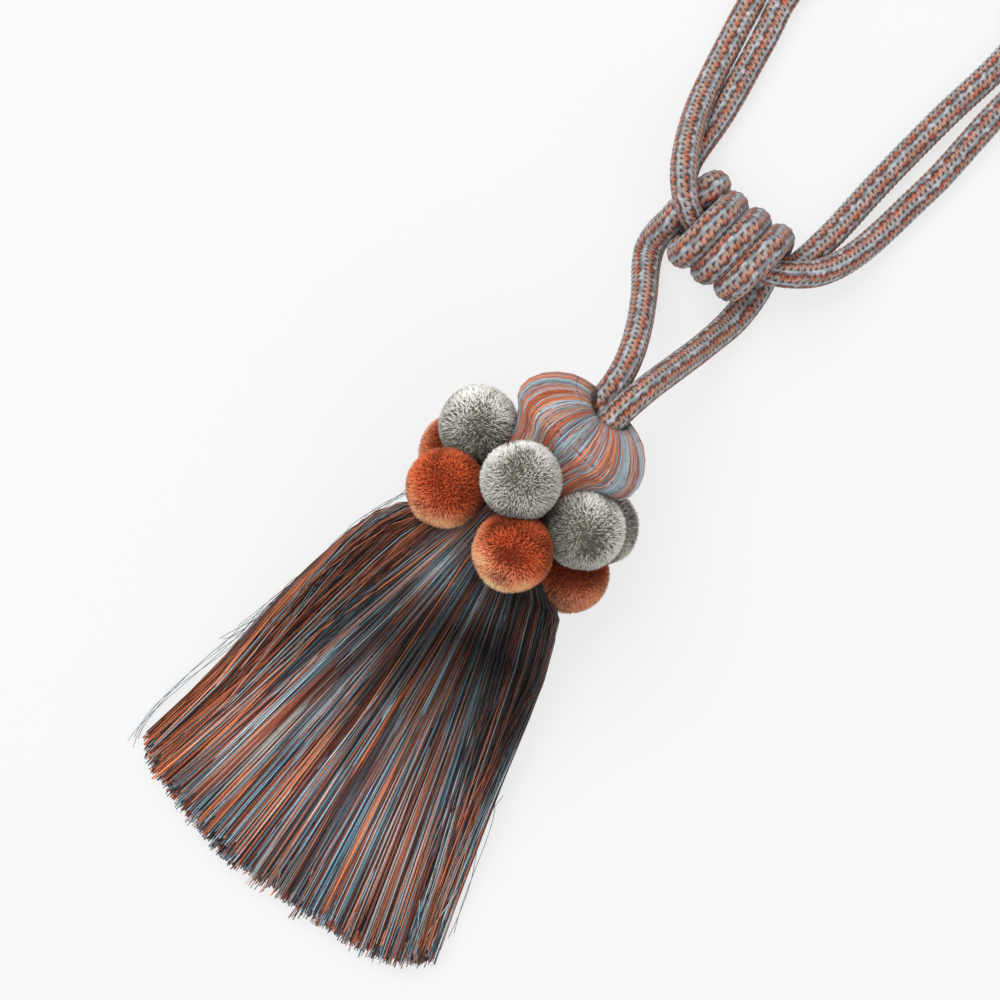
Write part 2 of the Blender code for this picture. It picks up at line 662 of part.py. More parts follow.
def add_pompon(pompon, fabric, chance):
    """A clipped ball of twelve locks, parted but for their roots in its heart."""
    bm = bmesh.new()
    centre = Vector((pompon.x, pompon.y, pompon.z))
    flats = contacts(pompon)
    turn = Matrix.Rotation(chance.uniform(0, math.pi), 3, "Z")
    turn = turn @ Matrix.Rotation(chance.uniform(0, math.pi), 3, "X")
    roots = {}

    def root_vert(direction):
        key = tuple(round(value, 4) for value in direction)
        if key not in roots:
            radius = reach(direction, POMPON_RADIUS * (1 - GROOVE_DEPTH), flats)
            roots[key] = bm.verts.new(centre + direction * radius)
        return roots[key]

    for cell in lock_cells():
        cell = [turn @ corner for corner in cell]
        height = POMPON_RADIUS * (1 - chance.uniform(0, LUMP))
        outline = [root_vert(on_cell(cell, PLACES[i], PLACES[j])) for i, j in RIM]
        top = {}
        for i, s in enumerate(PLACES):
            for j, t in enumerate(PLACES):
                inner = [LOCK_MARGIN + value * (1 - 2 * LOCK_MARGIN) for value in (s, t)]
                direction = on_cell(cell, *inner)
                top[i, j] = bm.verts.new(centre + direction * reach(direction, height, flats))
        bridge(bm, outline, [top[spot] for spot in RIM])
        for i in (0, 1):
            for j in (0, 1):
                bm.faces.new((top[i, j], top[i + 1, j], top[i + 1, j + 1], top[i, j + 1]))
    return add_mesh(pompon.name, bm, fabric)


def main():
    clear_scene()
    add_cord("embrace_cord", EMBRACE_ROUTE)
    add_cord("hanger_cord", hanger_route())
    add_head()
    add_skirt()
    chance = random.Random(11)
    for pompon in POMPONS:
        fabric = GREY_PILE if "grey" in pompon.name else RUST_PILE
        add_pompon(pompon, fabric, chance)


main()
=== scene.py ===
"""Looks of the curtain tieback tassel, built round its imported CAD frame.

All lengths are metres in the frame of the CAD: +Z is up, the table is z = 0 and the hem
of the skirt points to -Y. Colours are linear.
"""

import logging
import math
from collections.abc import Mapping, Sequence
from dataclasses import dataclass
from enum import Enum
from typing import NamedTuple

import bpy
import numpy as np
from bpy.types import ID, Material, Node, NodeSocket, NodeTree, Object
from mathutils import Matrix, Vector
from numpy.random import Generator


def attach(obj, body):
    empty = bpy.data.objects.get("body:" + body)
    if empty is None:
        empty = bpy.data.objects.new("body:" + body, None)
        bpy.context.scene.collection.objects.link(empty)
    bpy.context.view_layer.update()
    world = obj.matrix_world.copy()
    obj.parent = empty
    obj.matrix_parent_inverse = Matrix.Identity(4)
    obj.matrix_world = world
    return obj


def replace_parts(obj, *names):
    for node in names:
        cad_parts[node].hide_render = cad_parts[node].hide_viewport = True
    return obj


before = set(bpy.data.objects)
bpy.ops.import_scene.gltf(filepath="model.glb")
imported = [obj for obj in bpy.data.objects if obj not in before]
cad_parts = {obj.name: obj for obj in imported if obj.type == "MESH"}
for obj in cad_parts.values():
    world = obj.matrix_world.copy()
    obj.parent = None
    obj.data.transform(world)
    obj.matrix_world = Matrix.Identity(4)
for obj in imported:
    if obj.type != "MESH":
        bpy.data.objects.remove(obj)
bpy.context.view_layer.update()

Array = np.ndarray
LOG = logging.getLogger("tieback")
BODY = "root"
Stops = tuple[tuple[float, Sequence[float]], ...]  # the colours of a ramp, by their places
TABLE_CENTRE = np.array((0.0056, 0.0161, 0.0))  # the middle of the footprint, for the routes
UP = np.array((0.0, 0.0, 1.0))
ANY_PHASE = 6.3  # a random phase is drawn from 0 to this, which is about a full turn
COLOUR_LAYER = "yarn_colour"
# How far out along a tuft each point counts, which sets the pile's painted shade
PILE_SHADE_LAYER = "pile_shade_reach"
BAKE_MAP = "OFBake"

# ---- small tools ----


def unit(vectors: Array) -> Array:
    """The vectors at length one, along the last axis."""
    return vectors / np.maximum(np.linalg.norm(vectors, axis=-1, keepdims=True), 1e-12)


def smooth_step(value: Array | float, low: float, high: float) -> Array:
    """A soft ramp from 0 at low to 1 at high."""
    share = np.clip((np.asarray(value) - low) / (high - low), 0.0, 1.0)
    return share * share * (3 - 2 * share)


def rounded(values: Array, reach: int) -> Array:
    """The values, each blended with so many to either side of it."""
    window = np.hanning(2 * reach + 3)[1:-1]
    return np.convolve(np.pad(values, reach, mode="edge"), window / window.sum(), "valid")


def ring_angles(sides: int) -> Array:
    """The angles of so many points, spread evenly round a ring."""
    return 2 * np.pi * np.arange(sides) / sides


def spokes(angle: Array, across: Array, out: Array) -> Array:
    """The directions at those angles, where 0 is across and a quarter turn is out."""
    angle = angle[..., None]
    return np.cos(angle) * across[..., None, :] + np.sin(angle) * out[..., None, :]


def ring_quads(index: Array) -> Array:
    """The faces between neighbouring rings of points.

    Args:
        index: The points' numbers, as (ring, side).

    Returns:
        Each face's four points, as rows.
    """
    after = np.roll(index, -1, axis=-1)
    corners = index[..., :-1, :], index[..., 1:, :], after[..., 1:, :], after[..., :-1, :]
    return np.stack(corners, axis=-1).reshape(-1, 4)


def chart_quads(u: Sequence[Array], v: Sequence[Array]) -> Array:
    """The places of such faces' corners on the bake's map.

    Args:
        u: Each face's place along the rings, where it starts and where it ends.
        v: Its place round them, likewise.

    Returns:
        The corners' places, as (ring, side, corner, uv).
    """
    corners = ((u[0], v[0]), (u[1], v[0]), (u[1], v[1]), (u[0], v[1]))
    return np.stack([np.stack(np.broadcast_arrays(*corner), -1) for corner in corners], axis=-2)


def on_map(number: Array, cells: int) -> Array:
    """The cell of each number on a map of so many cells a side."""
    return np.stack([number % cells, number // cells], axis=-1)


def put(name: str, data: ID) -> Object:
    """Adds an object to the scene.

    Args:
        name: Its name.
        data: Its mesh, camera or light.

    Returns:
        The object.
    """
    thing = bpy.data.objects.new(name, data)
    bpy.context.scene.collection.objects.link(thing)
    return thing


def feed(node: Node, values: Mapping[str | int, object]) -> Node:
    """Fills a node's inputs.

    Args:
        node: The node.
        values: What each input gets: a value, or another node's output to link it to.

    Returns:
        The same node.
    """
    for name, value in values.items():
        if isinstance(value, NodeSocket):
            node.id_data.links.new(value, node.inputs[name])
        else:
            node.inputs[name].default_value = value
    return node


def add_node(
    tree: NodeTree, kind: str, values: Mapping[str | int, object], **settings: str
) -> Node:
    """Adds a node to a material.

    Args:
        tree: The material's node tree.
        kind: The node's type, without "ShaderNode".
        values: What its inputs get.
        settings: Its own settings, such as its operation.

    Returns:
        The node.
    """
    node = tree.nodes.new("ShaderNode" + kind)
    for name, value in settings.items():
        setattr(node, name, value)
    return feed(node, values)


def add_ramp(tree: NodeTree, share: NodeSocket, stops: Stops) -> NodeSocket:
    """Adds a ramp of colours to a material.

    Args:
        tree: The material's node tree.
        share: Where along the ramp the colour is taken.
        stops: The ramp's colours, each after its place.

    Returns:
        The output with the colour.
    """
    ramp = add_node(tree, "ValToRGB", {"Fac": share})
    elements = ramp.color_ramp.elements
    elements.remove(elements[1])
    for number, (position, colour) in enumerate(stops):
        stop = elements.new(position) if number else elements[0]
        stop.position = position
        stop.color = (*colour, 1.0)
    return ramp.outputs["Color"]


def new_material(name: str) -> tuple[Material, Node]:
    """Makes a material.

    Args:
        name: Its name.

    Returns:
        The material and its shader.
    """
    made = bpy.data.materials.new(name)
    made.use_nodes = True
    return made, made.node_tree.nodes["Principled BSDF"]


# ---- colours and finishes ----


class Yarn(Enum):
    """The dyed yarns that the tieback is made of."""

    RUST = (0.44, 0.090, 0.030)
    ORANGE = (0.62, 0.200, 0.080)
    DEEP_RUST = (0.17, 0.030, 0.016)
    BLUE = (0.125, 0.250, 0.330)
    LIGHT_BLUE = (0.36, 0.470, 0.520)
    PALE = (0.35, 0.372, 0.39)
    MIST = (0.27, 0.300, 0.320)
    STEEL = (0.13, 0.155, 0.175)
    SALMON = (0.37, 0.205, 0.150)
    BRICK = (0.37, 0.105, 0.052)
    NAVY = (0.014, 0.022, 0.034)
    TAUPE = (0.280, 0.255, 0.245)
    MAROON = (0.055, 0.018, 0.016)

    @property
    def rgb(self) -> Array:
        """The colour as an array of three."""
        return np.array(self.value)


@dataclass(frozen=True)
class YarnFinish:
    """A yarn or pile finish: its colour comes from the dye of each thread."""

    name: str  # the material's name
    roughness: float  # how matt the fibres are
    sheen: float  # how much the fibres' ends catch light at a grazing angle
    sheen_roughness: float  # how wide that sheen is
    specular: float  # how strongly the fibres mirror light
    fleck_scale: float  # how fine the flecks in the dye are, per metre
    fleck: float  # how much lighter or darker a fleck is
    bump: float  # how deep the fine relief is, in metres
    sheen_tint: tuple[float, float, float] = (1.0, 1.0, 1.0)  # the colour of the sheen
    # The painted shade that the dye is multiplied by from the pile's roots to its tips, if it is
    # pile
    shading: Stops | None = None
    blotches: Stops | None = None  # its own colours, where no thread brings one
    blotch_scale: float = 260.0  # how fine the blotches are, per metre

    def material(self) -> Material:
        """The finish as a material, made the first time that it is asked for.

        Returns:
            The material, with its dye, flecks, sheen and fine relief.
        """
        found = bpy.data.materials.get(self.name)
        if found is not None:
            return found
        made, shader = new_material(self.name)
        tree = made.node_tree
        place = add_node(tree, "TexCoord", {}).outputs["Object"]

        def noise(scale: float, detail: float) -> NodeSocket:
            """A noise in the object's own coordinates."""
            spread = {"Scale": scale, "Detail": detail, "Vector": place}
            return add_node(tree, "TexNoise", spread).outputs["Fac"]

        if self.blotches:
            dye = add_ramp(tree, noise(self.blotch_scale, 2.0), self.blotches)
        else:
            dye = add_node(tree, "Attribute", {}, attribute_name=COLOUR_LAYER).outputs["Color"]
        limits = {"To Min": 1 - self.fleck, "To Max": 1 + self.fleck}
        flecks = {"Value": noise(self.fleck_scale, 3.0), **limits}
        level = add_node(tree, "MapRange", flecks).outputs["Result"]
        shade = add_node(tree, "VectorMath", {0: dye, "Scale": level}, operation="SCALE")
        # Painted shade: the pile's dye darkens from its tips down to its roots.
        if self.shading:
            reach = add_node(tree, "Attribute", {}, attribute_name=PILE_SHADE_LAYER).outputs["Fac"]
            pile_depth_shade = add_ramp(tree, reach, self.shading)
            both = {0: shade.outputs["Vector"], 1: pile_depth_shade}
            shade = add_node(tree, "VectorMath", both, operation="MULTIPLY")
        height = noise(self.fleck_scale * 1.7, 2.0)
        relief = {"Strength": 0.6, "Distance": self.bump, "Height": height}
        feed(
            shader,
            {
                "Base Color": shade.outputs["Vector"],
                "Roughness": self.roughness,
                "Sheen Weight": self.sheen,
                "Sheen Roughness": self.sheen_roughness,
                "Sheen Tint": (*self.sheen_tint, 1.0),
                "Specular IOR Level": self.specular,
                "Normal": add_node(tree, "Bump", relief).outputs["Normal"],
            },
        )
        return made


WHITE = (1.0, 1.0, 1.0)
BRAID = YarnFinish("braided_yarn", 0.72, 0.12, 0.5, 0.20, 1400.0, 0.25, 0.00012)
SKIRT_THREAD = YarnFinish("cut_thread", 0.45, 0.0, 0.4, 0.28, 900.0, 0.28, 0.00005)
HEAD_THREAD = YarnFinish("wound_thread", 0.38, 0.08, 0.4, 0.42, 900.0, 0.22, 0.00005)
# The mould's cover, seen between the wound threads: deep rust, and blue at half its brightness as
# painted shade.
HEAD_SHADED_UNDER_LAYER = YarnFinish(
    "head_shaded_under_layer", 0.6, 0.15, 0.4, 0.3, 1100.0, 0.35, 0.0003,
    blotches=((0.40, Yarn.DEEP_RUST.value), (0.62, tuple(Yarn.BLUE.rgb * 0.5))),
)  # fmt: skip
GREY_PILE = YarnFinish(
    "grey_clipped_pile", 0.95, 0.15, 0.5, 0.05, 330.0, 0.20, 0.0002,
    shading=((0.0, (0.22, 0.21, 0.17)), (0.5, (0.51, 0.49, 0.44)), (1.0, WHITE)),
)  # fmt: skip
RUST_PILE = YarnFinish(
    "rust_clipped_pile", 0.95, 0.20, 0.5, 0.03, 330.0, 0.20, 0.0002, (1.0, 0.55, 0.35),
    shading=((0.0, (0.40, 0.20, 0.19)), (0.5, (0.70, 0.46, 0.43)), (1.0, WHITE)),
)  # fmt: skip
SHADE_BACKING = YarnFinish("skirt_shade_backing", 0.85, 0.0, 0.5, 0.05, 700.0, 0.35, 0.0004)


def pick_dyes(chance: Generator, odds: Mapping[Yarn, float], count: int) -> Array:
    """A dye for each of so many threads, by how likely each dye is, as rows of three."""
    table = np.array([dye.rgb for dye in odds])
    return table[chance.choice(len(odds), size=count, p=list(odds.values()))]


# ---- pieces ----


@dataclass(frozen=True)
class Piece:
    """One mesh object of the part, with a colour at each vertex."""

    name: str  # the object's name
    finish: YarnFinish  # what it is made of
    slot: str  # the record's material slot that it stands for

    def place(self, points: Array, faces: list[list[int]], colours: Array, uvs: Array) -> Object:
        """Builds the mesh, gives it its finish and lets it ride on the part.

        Args:
            points: The vertices, as (..., xyz).
            faces: Each face's vertices, in order.
            colours: The colour at each vertex, as (..., rgb).
            uvs: The place of each face corner on the bake's map, as rows of two.

        Returns:
            The new object.
        """
        mesh = bpy.data.meshes.new(self.name)
        mesh.from_pydata(points.reshape(-1, 3).tolist(), [], faces)
        mesh.shade_smooth()
        layer = mesh.attributes.new(COLOUR_LAYER, "FLOAT_COLOR", "POINT")
        with_alpha = np.pad(colours.reshape(-1, 3), ((0, 0), (0, 1)), constant_values=1.0)
        layer.data.foreach_set("color", with_alpha.astype(np.float32).ravel())
        chart = mesh.uv_layers.new(name=BAKE_MAP)
        chart.uv.foreach_set("vector", uvs.astype(np.float32).ravel())
        mesh.materials.append(self.finish.material())
        thing = put(self.name, mesh)
        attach(thing, BODY)
        LOG.info("%s: %d faces", self.name, len(faces))
        return thing


@dataclass(frozen=True)
class Strands(Piece):
    """Many threads in one piece, each a slim tube with its own centre line."""

    sides: int = 3  # how many sides each thread has
    margin: float = 0.06  # the room round each thread on the bake's map, as a share of its cell

    def spin(
        self, lines: Array, radii: Array, colours: Array, outward: Array, turns: Array
    ) -> Object:
        """Builds the threads.

        Args:
            lines: The centre lines, as (thread, point, xyz).
            radii: The thickness at each point, as (thread, point) or less where it repeats.
            colours: The colour at each point, as (thread, point, rgb) or less likewise.
            outward: A direction across the threads, for all or at each point.
            turns: How far each thread is turned about itself, in radians.

        Returns:
            The new object.
        """
        tangent = unit(np.gradient(lines, axis=1))
        across = unit(np.cross(tangent, outward))
        angle = turns[:, None] + ring_angles(self.sides)
        ring = spokes(angle[:, None], across, np.cross(across, tangent))
        points = lines[:, :, None] + np.broadcast_to(radii, lines.shape[:2])[..., None, None] * ring
        shades = np.broadcast_to(colours, lines.shape)[:, :, None].repeat(self.sides, axis=2)
        faces, uvs = self._skin(*lines.shape[:2])
        return self.place(points, faces, shades, uvs)

    def _skin(self, count: int, length: int) -> tuple[list[list[int]], Array]:
        """The faces of all the threads and where they lie on the bake's map.

        Args:
            count: How many threads there are.
            length: How many points each has.

        Returns:
            The faces, sides first and then the ends, and a place for each corner.
        """
        index = np.arange(count * length * self.sides).reshape(count, length, self.sides)
        faces = ring_quads(index).tolist() + index[:, 0].tolist() + index[:, -1, ::-1].tolist()
        cells = math.ceil(math.sqrt(count))
        corner = on_map(np.arange(count), cells).astype(float)[:, None]
        step = np.arange(length - 1)[:, None] / (length - 1)
        side = np.arange(self.sides) / self.sides
        quad = chart_quads((step, step + 1 / (length - 1)), (side, side + 1 / self.sides))
        quad = quad[..., ::-1]
        walls = corner[:, None, None] + self.margin + (1 - 2 * self.margin) * quad
        edge = np.stack([side, np.zeros(self.sides)], -1)
        start = corner + self.margin * np.array([1.0, 0.4]) + 0.5 * edge
        end = start + np.array([0.0, 1 - 1.4 * self.margin])
        return faces, np.concatenate([part.reshape(-1, 2) for part in (walls, start, end)]) / cells


# ---- cords ----

CORD = 0.0094
CORD_GAP = 0.00025
LYING = CORD / 2  # height of a cord's middle where it lies on the table
TURN_PITCH = 0.01005
KNOT = (-0.0035, 0.0714)
STRAND_LEAN = math.radians(66)
TURN_STEP = math.radians(22.5)
WOUND_TURNS = 3
FIRST_UNDERSIDE = -2
TURN_RADIUS = CORD + CORD_GAP
KNOT_SQUEEZE = 0.98
FINE_STEP = 0.0006


class RoutePoint(NamedTuple):
    """A point of a cord's route, and how thick the cord is there as a share of its own."""

    x: float
    y: float
    z: float = LYING
    squeeze: float = 1.0


def route(*rows: tuple[float, ...]) -> tuple[RoutePoint, ...]:
    """The stretch of a route through those points."""
    return tuple(RoutePoint(*row) for row in rows)


LEFT_LEG = route(
    (-0.0051, -0.0090, 0.0395), (-0.0042, -0.0036, 0.0403), (-0.0039, 0.0026, 0.0401),
    (-0.0041, 0.0092, 0.0377), (-0.0054, 0.0168, 0.0330), (-0.0084, 0.0262, 0.0258),
    (-0.0129, 0.0362, 0.0174), (-0.0174, 0.0454, 0.0102), (-0.0205, 0.0524, 0.0060),
    (-0.0220, 0.0570, 0.0056),
)  # fmt: skip
# Under the upper strand, over the lower one and down its far side.
FIRST_TURN = route(
    (-0.0222, 0.0602, 0.0078), (-0.0219, 0.0630, 0.0122, 0.98), (-0.0212, 0.0661, 0.0170, 0.95),
    (-0.0208, 0.0700, 0.0203, 0.92), (-0.0198, 0.0745, 0.0223, 0.95),
    (-0.0174, 0.0791, 0.0232, 1.02), (-0.0160, 0.0832, 0.0206, 1.05),
    (-0.0155, 0.0852, 0.0150, 1.02), (-0.0158, 0.0845, 0.0096), (-0.0151, 0.0812, 0.0060),
    (-0.0142, 0.0762),
)  # fmt: skip
RIGHT_LEG = route(
    (0.0179, 0.0660), (0.0182, 0.0596), (0.0178, 0.0528, 0.0048), (0.0166, 0.0454, 0.0068),
    (0.0142, 0.0354, 0.0140), (0.0113, 0.0260, 0.0236), (0.0085, 0.0174, 0.0332),
    (0.0060, 0.0094, 0.0418), (0.0043, 0.0028, 0.0460), (0.0030, -0.0034, 0.0470),
    (0.0019, -0.0092, 0.0466),
)  # fmt: skip
EMBRACE_ROUTE = route(
    # the lower strand in the knot
    (-0.0033, 0.0734, 0.0143, 0.98), (0.0030, 0.0734, 0.0143, 0.98),
    (0.0090, 0.0733, 0.0143, 0.97), (0.0148, 0.0734, 0.0142, 0.94),
    (0.0198, 0.0740, 0.0136, 0.93),
    # out along the right arm
    (0.0238, 0.0768, 0.0120, 0.96), (0.0260, 0.0824, 0.0102), (0.0274, 0.0890, 0.0082),
    (0.0287, 0.0960, 0.0062), (0.0298, 0.1044, 0.0049), (0.0312, 0.1164), (0.0336, 0.1332),
    (0.0372, 0.1550), (0.0420, 0.1790),
    # its loop
    (0.0428, 0.1905), (0.0406, 0.2020), (0.0376, 0.2125), (0.0376, 0.2235), (0.0424, 0.2336),
    (0.0520, 0.2396), (0.0634, 0.2392), (0.0726, 0.2324), (0.0762, 0.2214), (0.0740, 0.2096),
    (0.0672, 0.1990), (0.0592, 0.1888), (0.0540, 0.1770),
    # and back
    (0.0515, 0.1648), (0.0497, 0.1494), (0.0480, 0.1340), (0.0453, 0.1196),
    (0.0428, 0.1066, 0.0056), (0.0398, 0.0950, 0.0092), (0.0358, 0.0854, 0.0142),
    (0.0306, 0.0780, 0.0188), (0.0249, 0.0735, 0.0215), (0.0194, 0.0708, 0.0224, 0.97),
    # the upper strand in the knot
    (0.0142, 0.0696, 0.0229, 0.96), (0.0090, 0.0693, 0.0231, 0.97),
    (0.0030, 0.0694, 0.0232, 0.98), (-0.0030, 0.0694, 0.0232, 0.98),
    (-0.0086, 0.0694, 0.0230, 0.93), (-0.0120, 0.0693, 0.0239, 0.91),
    (-0.0146, 0.0696, 0.0259, 0.89), (-0.0169, 0.0703, 0.0291, 0.89),
    # out along the left arm
    (-0.0198, 0.0718, 0.0318, 0.92), (-0.0231, 0.0746, 0.0326, 0.95), (-0.0268, 0.0792, 0.0302),
    (-0.0302, 0.0852, 0.0250), (-0.0333, 0.0926, 0.0184), (-0.0360, 0.1008, 0.0122),
    (-0.0380, 0.1096, 0.0078), (-0.0395, 0.1186, 0.0054), (-0.0409, 0.1278), (-0.0423, 0.1375),
    (-0.0439, 0.1490),
    # its loop
    (-0.0470, 0.1605), (-0.0536, 0.1712), (-0.0608, 0.1816), (-0.0647, 0.1932),
    (-0.0622, 0.2052), (-0.0534, 0.2134), (-0.0414, 0.2146), (-0.0312, 0.2082),
    (-0.0266, 0.1972), (-0.0276, 0.1852), (-0.0312, 0.1740), (-0.0338, 0.1634),
    # and back
    (-0.0342, 0.1525), (-0.0323, 0.1404), (-0.0308, 0.1278), (-0.0294, 0.1160),
    (-0.0286, 0.1040, 0.0048), (-0.0286, 0.0950, 0.0064), (-0.0282, 0.0870, 0.0086),
    (-0.0260, 0.0808, 0.0108, 0.97), (-0.0218, 0.0768, 0.0126, 0.93),
    (-0.0176, 0.0748, 0.0136, 0.91), (-0.0130, 0.0738, 0.0141, 0.93),
    (-0.0086, 0.0734, 0.0143, 0.97), (-0.0036, 0.0734, 0.0143, 0.98),
)  # fmt: skip


def wound_point(turns: float) -> RoutePoint:
    """A point on the wound cord.

    Args:
        turns: How many turns it is on from the first underside.

    Returns:
        The point, on whichever strand of the embrace stands out furthest there.
    """
    lean = Vector((-math.cos(STRAND_LEAN), math.sin(STRAND_LEAN))) * TURN_RADIUS
    lower = Vector((KNOT[1] - lean.x / 2, TURN_RADIUS + CORD / 2))
    angle = 2 * math.pi * turns
    outward = Vector((-math.sin(angle), -math.cos(angle)))
    place = max((lower, lower + lean), key=outward.dot) + outward * TURN_RADIUS
    along = KNOT[0] + (FIRST_UNDERSIDE + 1 + turns) * TURN_PITCH
    return RoutePoint(along, place.x, place.y, KNOT_SQUEEZE)


def hanger_route() -> tuple[RoutePoint, ...]:
    """The hanger cord's whole route.

    Returns:
        The left leg, the first turn, the wound turns and the right leg.
    """
    steps = round(2 * math.pi * WOUND_TURNS / TURN_STEP)
    wound = tuple(wound_point(WOUND_TURNS * i / steps) for i in range(steps + 1))
    return LEFT_LEG + FIRST_TURN + wound + RIGHT_LEG


@dataclass(frozen=True)
class BraidWale:
    """One lengthwise line of stitches on a braided cord."""

    stitches: tuple[Yarn, ...]  # the colours of its stitches, in turn
    gap: Yarn  # the colour between two stitches
    gap_rings: int  # how many of a stitch's rings of points the gap takes
    height: float  # how far it stands out, as a share of the full relief
    swell: float  # how much more its stitches stand out than the gaps between them
    offset: int  # how far its stitches are shifted along the cord, in rings


# Round the cord: a smooth pale band, two lines of salmon stitches and chequered ones between.
BRAID_WALES = (
    BraidWale(
        (Yarn.PALE, Yarn.PALE, Yarn.MIST, Yarn.PALE, Yarn.TAUPE), Yarn.MIST, 1, 0.35, 0.35, 0
    ),
    BraidWale((Yarn.PALE, Yarn.STEEL, Yarn.MAROON), Yarn.STEEL, 2, 0.10, 0.45, 3),
    BraidWale((Yarn.MAROON, Yarn.MAROON, Yarn.DEEP_RUST), Yarn.BRICK, 2, -0.50, 0.45, 0),
    BraidWale((Yarn.SALMON, Yarn.SALMON, Yarn.BRICK, Yarn.TAUPE), Yarn.MAROON, 1, 0.10, 0.95, 3),
    BraidWale((*[Yarn.SALMON] * 3, Yarn.TAUPE), Yarn.DEEP_RUST, 1, 0.00, 0.90, 0),
    BraidWale((Yarn.MAROON, Yarn.NAVY, Yarn.MAROON), Yarn.TAUPE, 3, -0.50, 0.45, 3),
)
# How far a stitch stands out at each of its rings.
STITCH_PROFILE = np.array((0.0, 0.65, 0.95, 1.0, 0.85, 0.50))


@dataclass(frozen=True)
class BraidedCord(Piece):
    """A round braided cord along a route."""

    route: tuple[RoutePoint, ...] = ()  # the points that its middle goes through
    diameter: float = CORD  # how thick it is
    sides: int = 36  # how many points go round it
    stitch: float = 0.00222  # the length of one stitch
    rings: int = 6  # how many rings of points a stitch has
    relief: float = 0.00042  # how far a stitch stands out of the seams beside it
    swell: float = 0.0  # how much thicker it is where it is wound, as a share of its own
    slump: float = 0.0011  # how far it hangs towards the skirt in the knot
    slack: float = 0.0  # how much further it does so on the side towards the skirt
    odd: float = 0.35  # how many stitches are out of turn
    chart_rows: int = 32  # in how many rows the cord lies on the bake's map
    seed: int = 1  # where its small irregularities start

    def centre_line(self) -> Array:
        """The middle of the cord at each of its rings.

        Returns:
            Rows of x, y, z and squeeze in the CAD's frame, evenly spaced.
        """
        fine = np.array(self._smooth())
        steps = np.linalg.norm(np.diff(fine[:, :3], axis=0), axis=1)
        along = np.concatenate([[0.0], np.cumsum(steps)])
        count = round(along[-1] / (self.stitch / self.rings))
        wanted = np.linspace(0.0, along[-1], count + 1)
        line = np.stack([np.interp(wanted, along, column) for column in fine.T], axis=1)
        line[:, :3] -= TABLE_CENTRE
        inside = self._in_knot(line)
        line[:, 3] += self.swell * inside
        facing = smooth_step(KNOT[1] - TABLE_CENTRE[1] - line[:, 1], -0.002, 0.010)
        line[:, 1] -= (self.slump + self.slack * facing) * inside
        return line

    @staticmethod
    def _in_knot(line: Array) -> Array:
        """How far each point is inside the wound part of the knot.

        Args:
            line: The centre line.

        Returns:
            For each point, from 0 outside it to 1 inside.
        """
        x, y = line[:, 0] + TABLE_CENTRE[0], line[:, 1] + TABLE_CENTRE[1]
        beside = smooth_step(np.abs(x - KNOT[0]), 0.032, 0.016)
        return beside * smooth_step(np.abs(y - KNOT[1]), 0.036, 0.014)

    def _smooth(self) -> list[Vector]:
        """The route as a fine smooth curve, as part.py makes it.

        Returns:
            Points of x, y, z and squeeze on a centripetal Catmull-Rom curve.
        """
        points = [Vector(point) for point in self.route]
        points.insert(0, points[0] * 2 - points[1])
        points.append(points[-1] * 2 - points[-2])
        curve = []
        for i in range(1, len(points) - 2):
            steps = max(2, math.ceil((points[i + 1] - points[i]).length / FINE_STEP))
            curve += self._stretch(points[i - 1 : i + 3], steps)
        curve.append(points[-2])
        for point in curve:
            point.z = max(point.z, LYING)
        return curve

    @staticmethod
    def _stretch(points: Sequence[Vector], steps: int) -> list[Vector]:
        """Points from the second point up to, but not with, the third.

        Args:
            points: Four points of the route.
            steps: How many points to make.

        Returns:
            The points, on a centripetal Catmull-Rom curve.
        """
        knots = [0.0]
        for a, b in zip(points, points[1:]):
            knots.append(knots[-1] + math.sqrt((b.xyz - a.xyz).length))

        def mix(a: Vector, b: Vector, i: int, j: int, t: float) -> Vector:
            """The point between a and b at t."""
            return a + (b - a) * ((t - knots[i]) / (knots[j] - knots[i]))

        made = []
        for step in range(steps):
            t = knots[1] + (knots[2] - knots[1]) * step / steps
            first, second, third = (mix(points[i], points[i + 1], i, i + 1, t) for i in range(3))
            made.append(mix(mix(first, second, 0, 2, t), mix(second, third, 1, 3, t), 1, 2, t))
        return made

    @staticmethod
    def _frames(line: Array) -> tuple[Array, Array]:
        """Two directions across the cord at each ring, carried along without twist.

        Args:
            line: The centre line's points.

        Returns:
            The two directions, each as rows of three.
        """
        tangent = unit(np.gradient(line, axis=0))
        across = np.empty_like(tangent)
        across[0] = unit(np.cross(tangent[0], (0.0, 0.0, 1.0)))
        for i in range(1, len(tangent)):
            carried = across[i - 1] - tangent[i] * across[i - 1].dot(tangent[i])
            across[i] = carried / np.linalg.norm(carried)
        return across, np.cross(across, tangent)

    def build(self) -> tuple[Object, Array]:
        """Braids the cord.

        Returns:
            The object, and the centre line's points.
        """
        chance = np.random.default_rng(self.seed)
        line = self.centre_line()
        height, colours = self._stitches(len(line), chance)
        radius = self.diameter / 2 * line[:, 3, None] + height
        ring = spokes(ring_angles(self.sides), *self._frames(line[:, :3]))
        points = line[:, None, :3] + radius[:, :, None] * ring
        points[:, :, 2] = np.maximum(points[:, :, 2], 0.0)
        faces, uvs = self._skin(len(line))
        return self.place(points, faces, colours, uvs), line[:, :3]

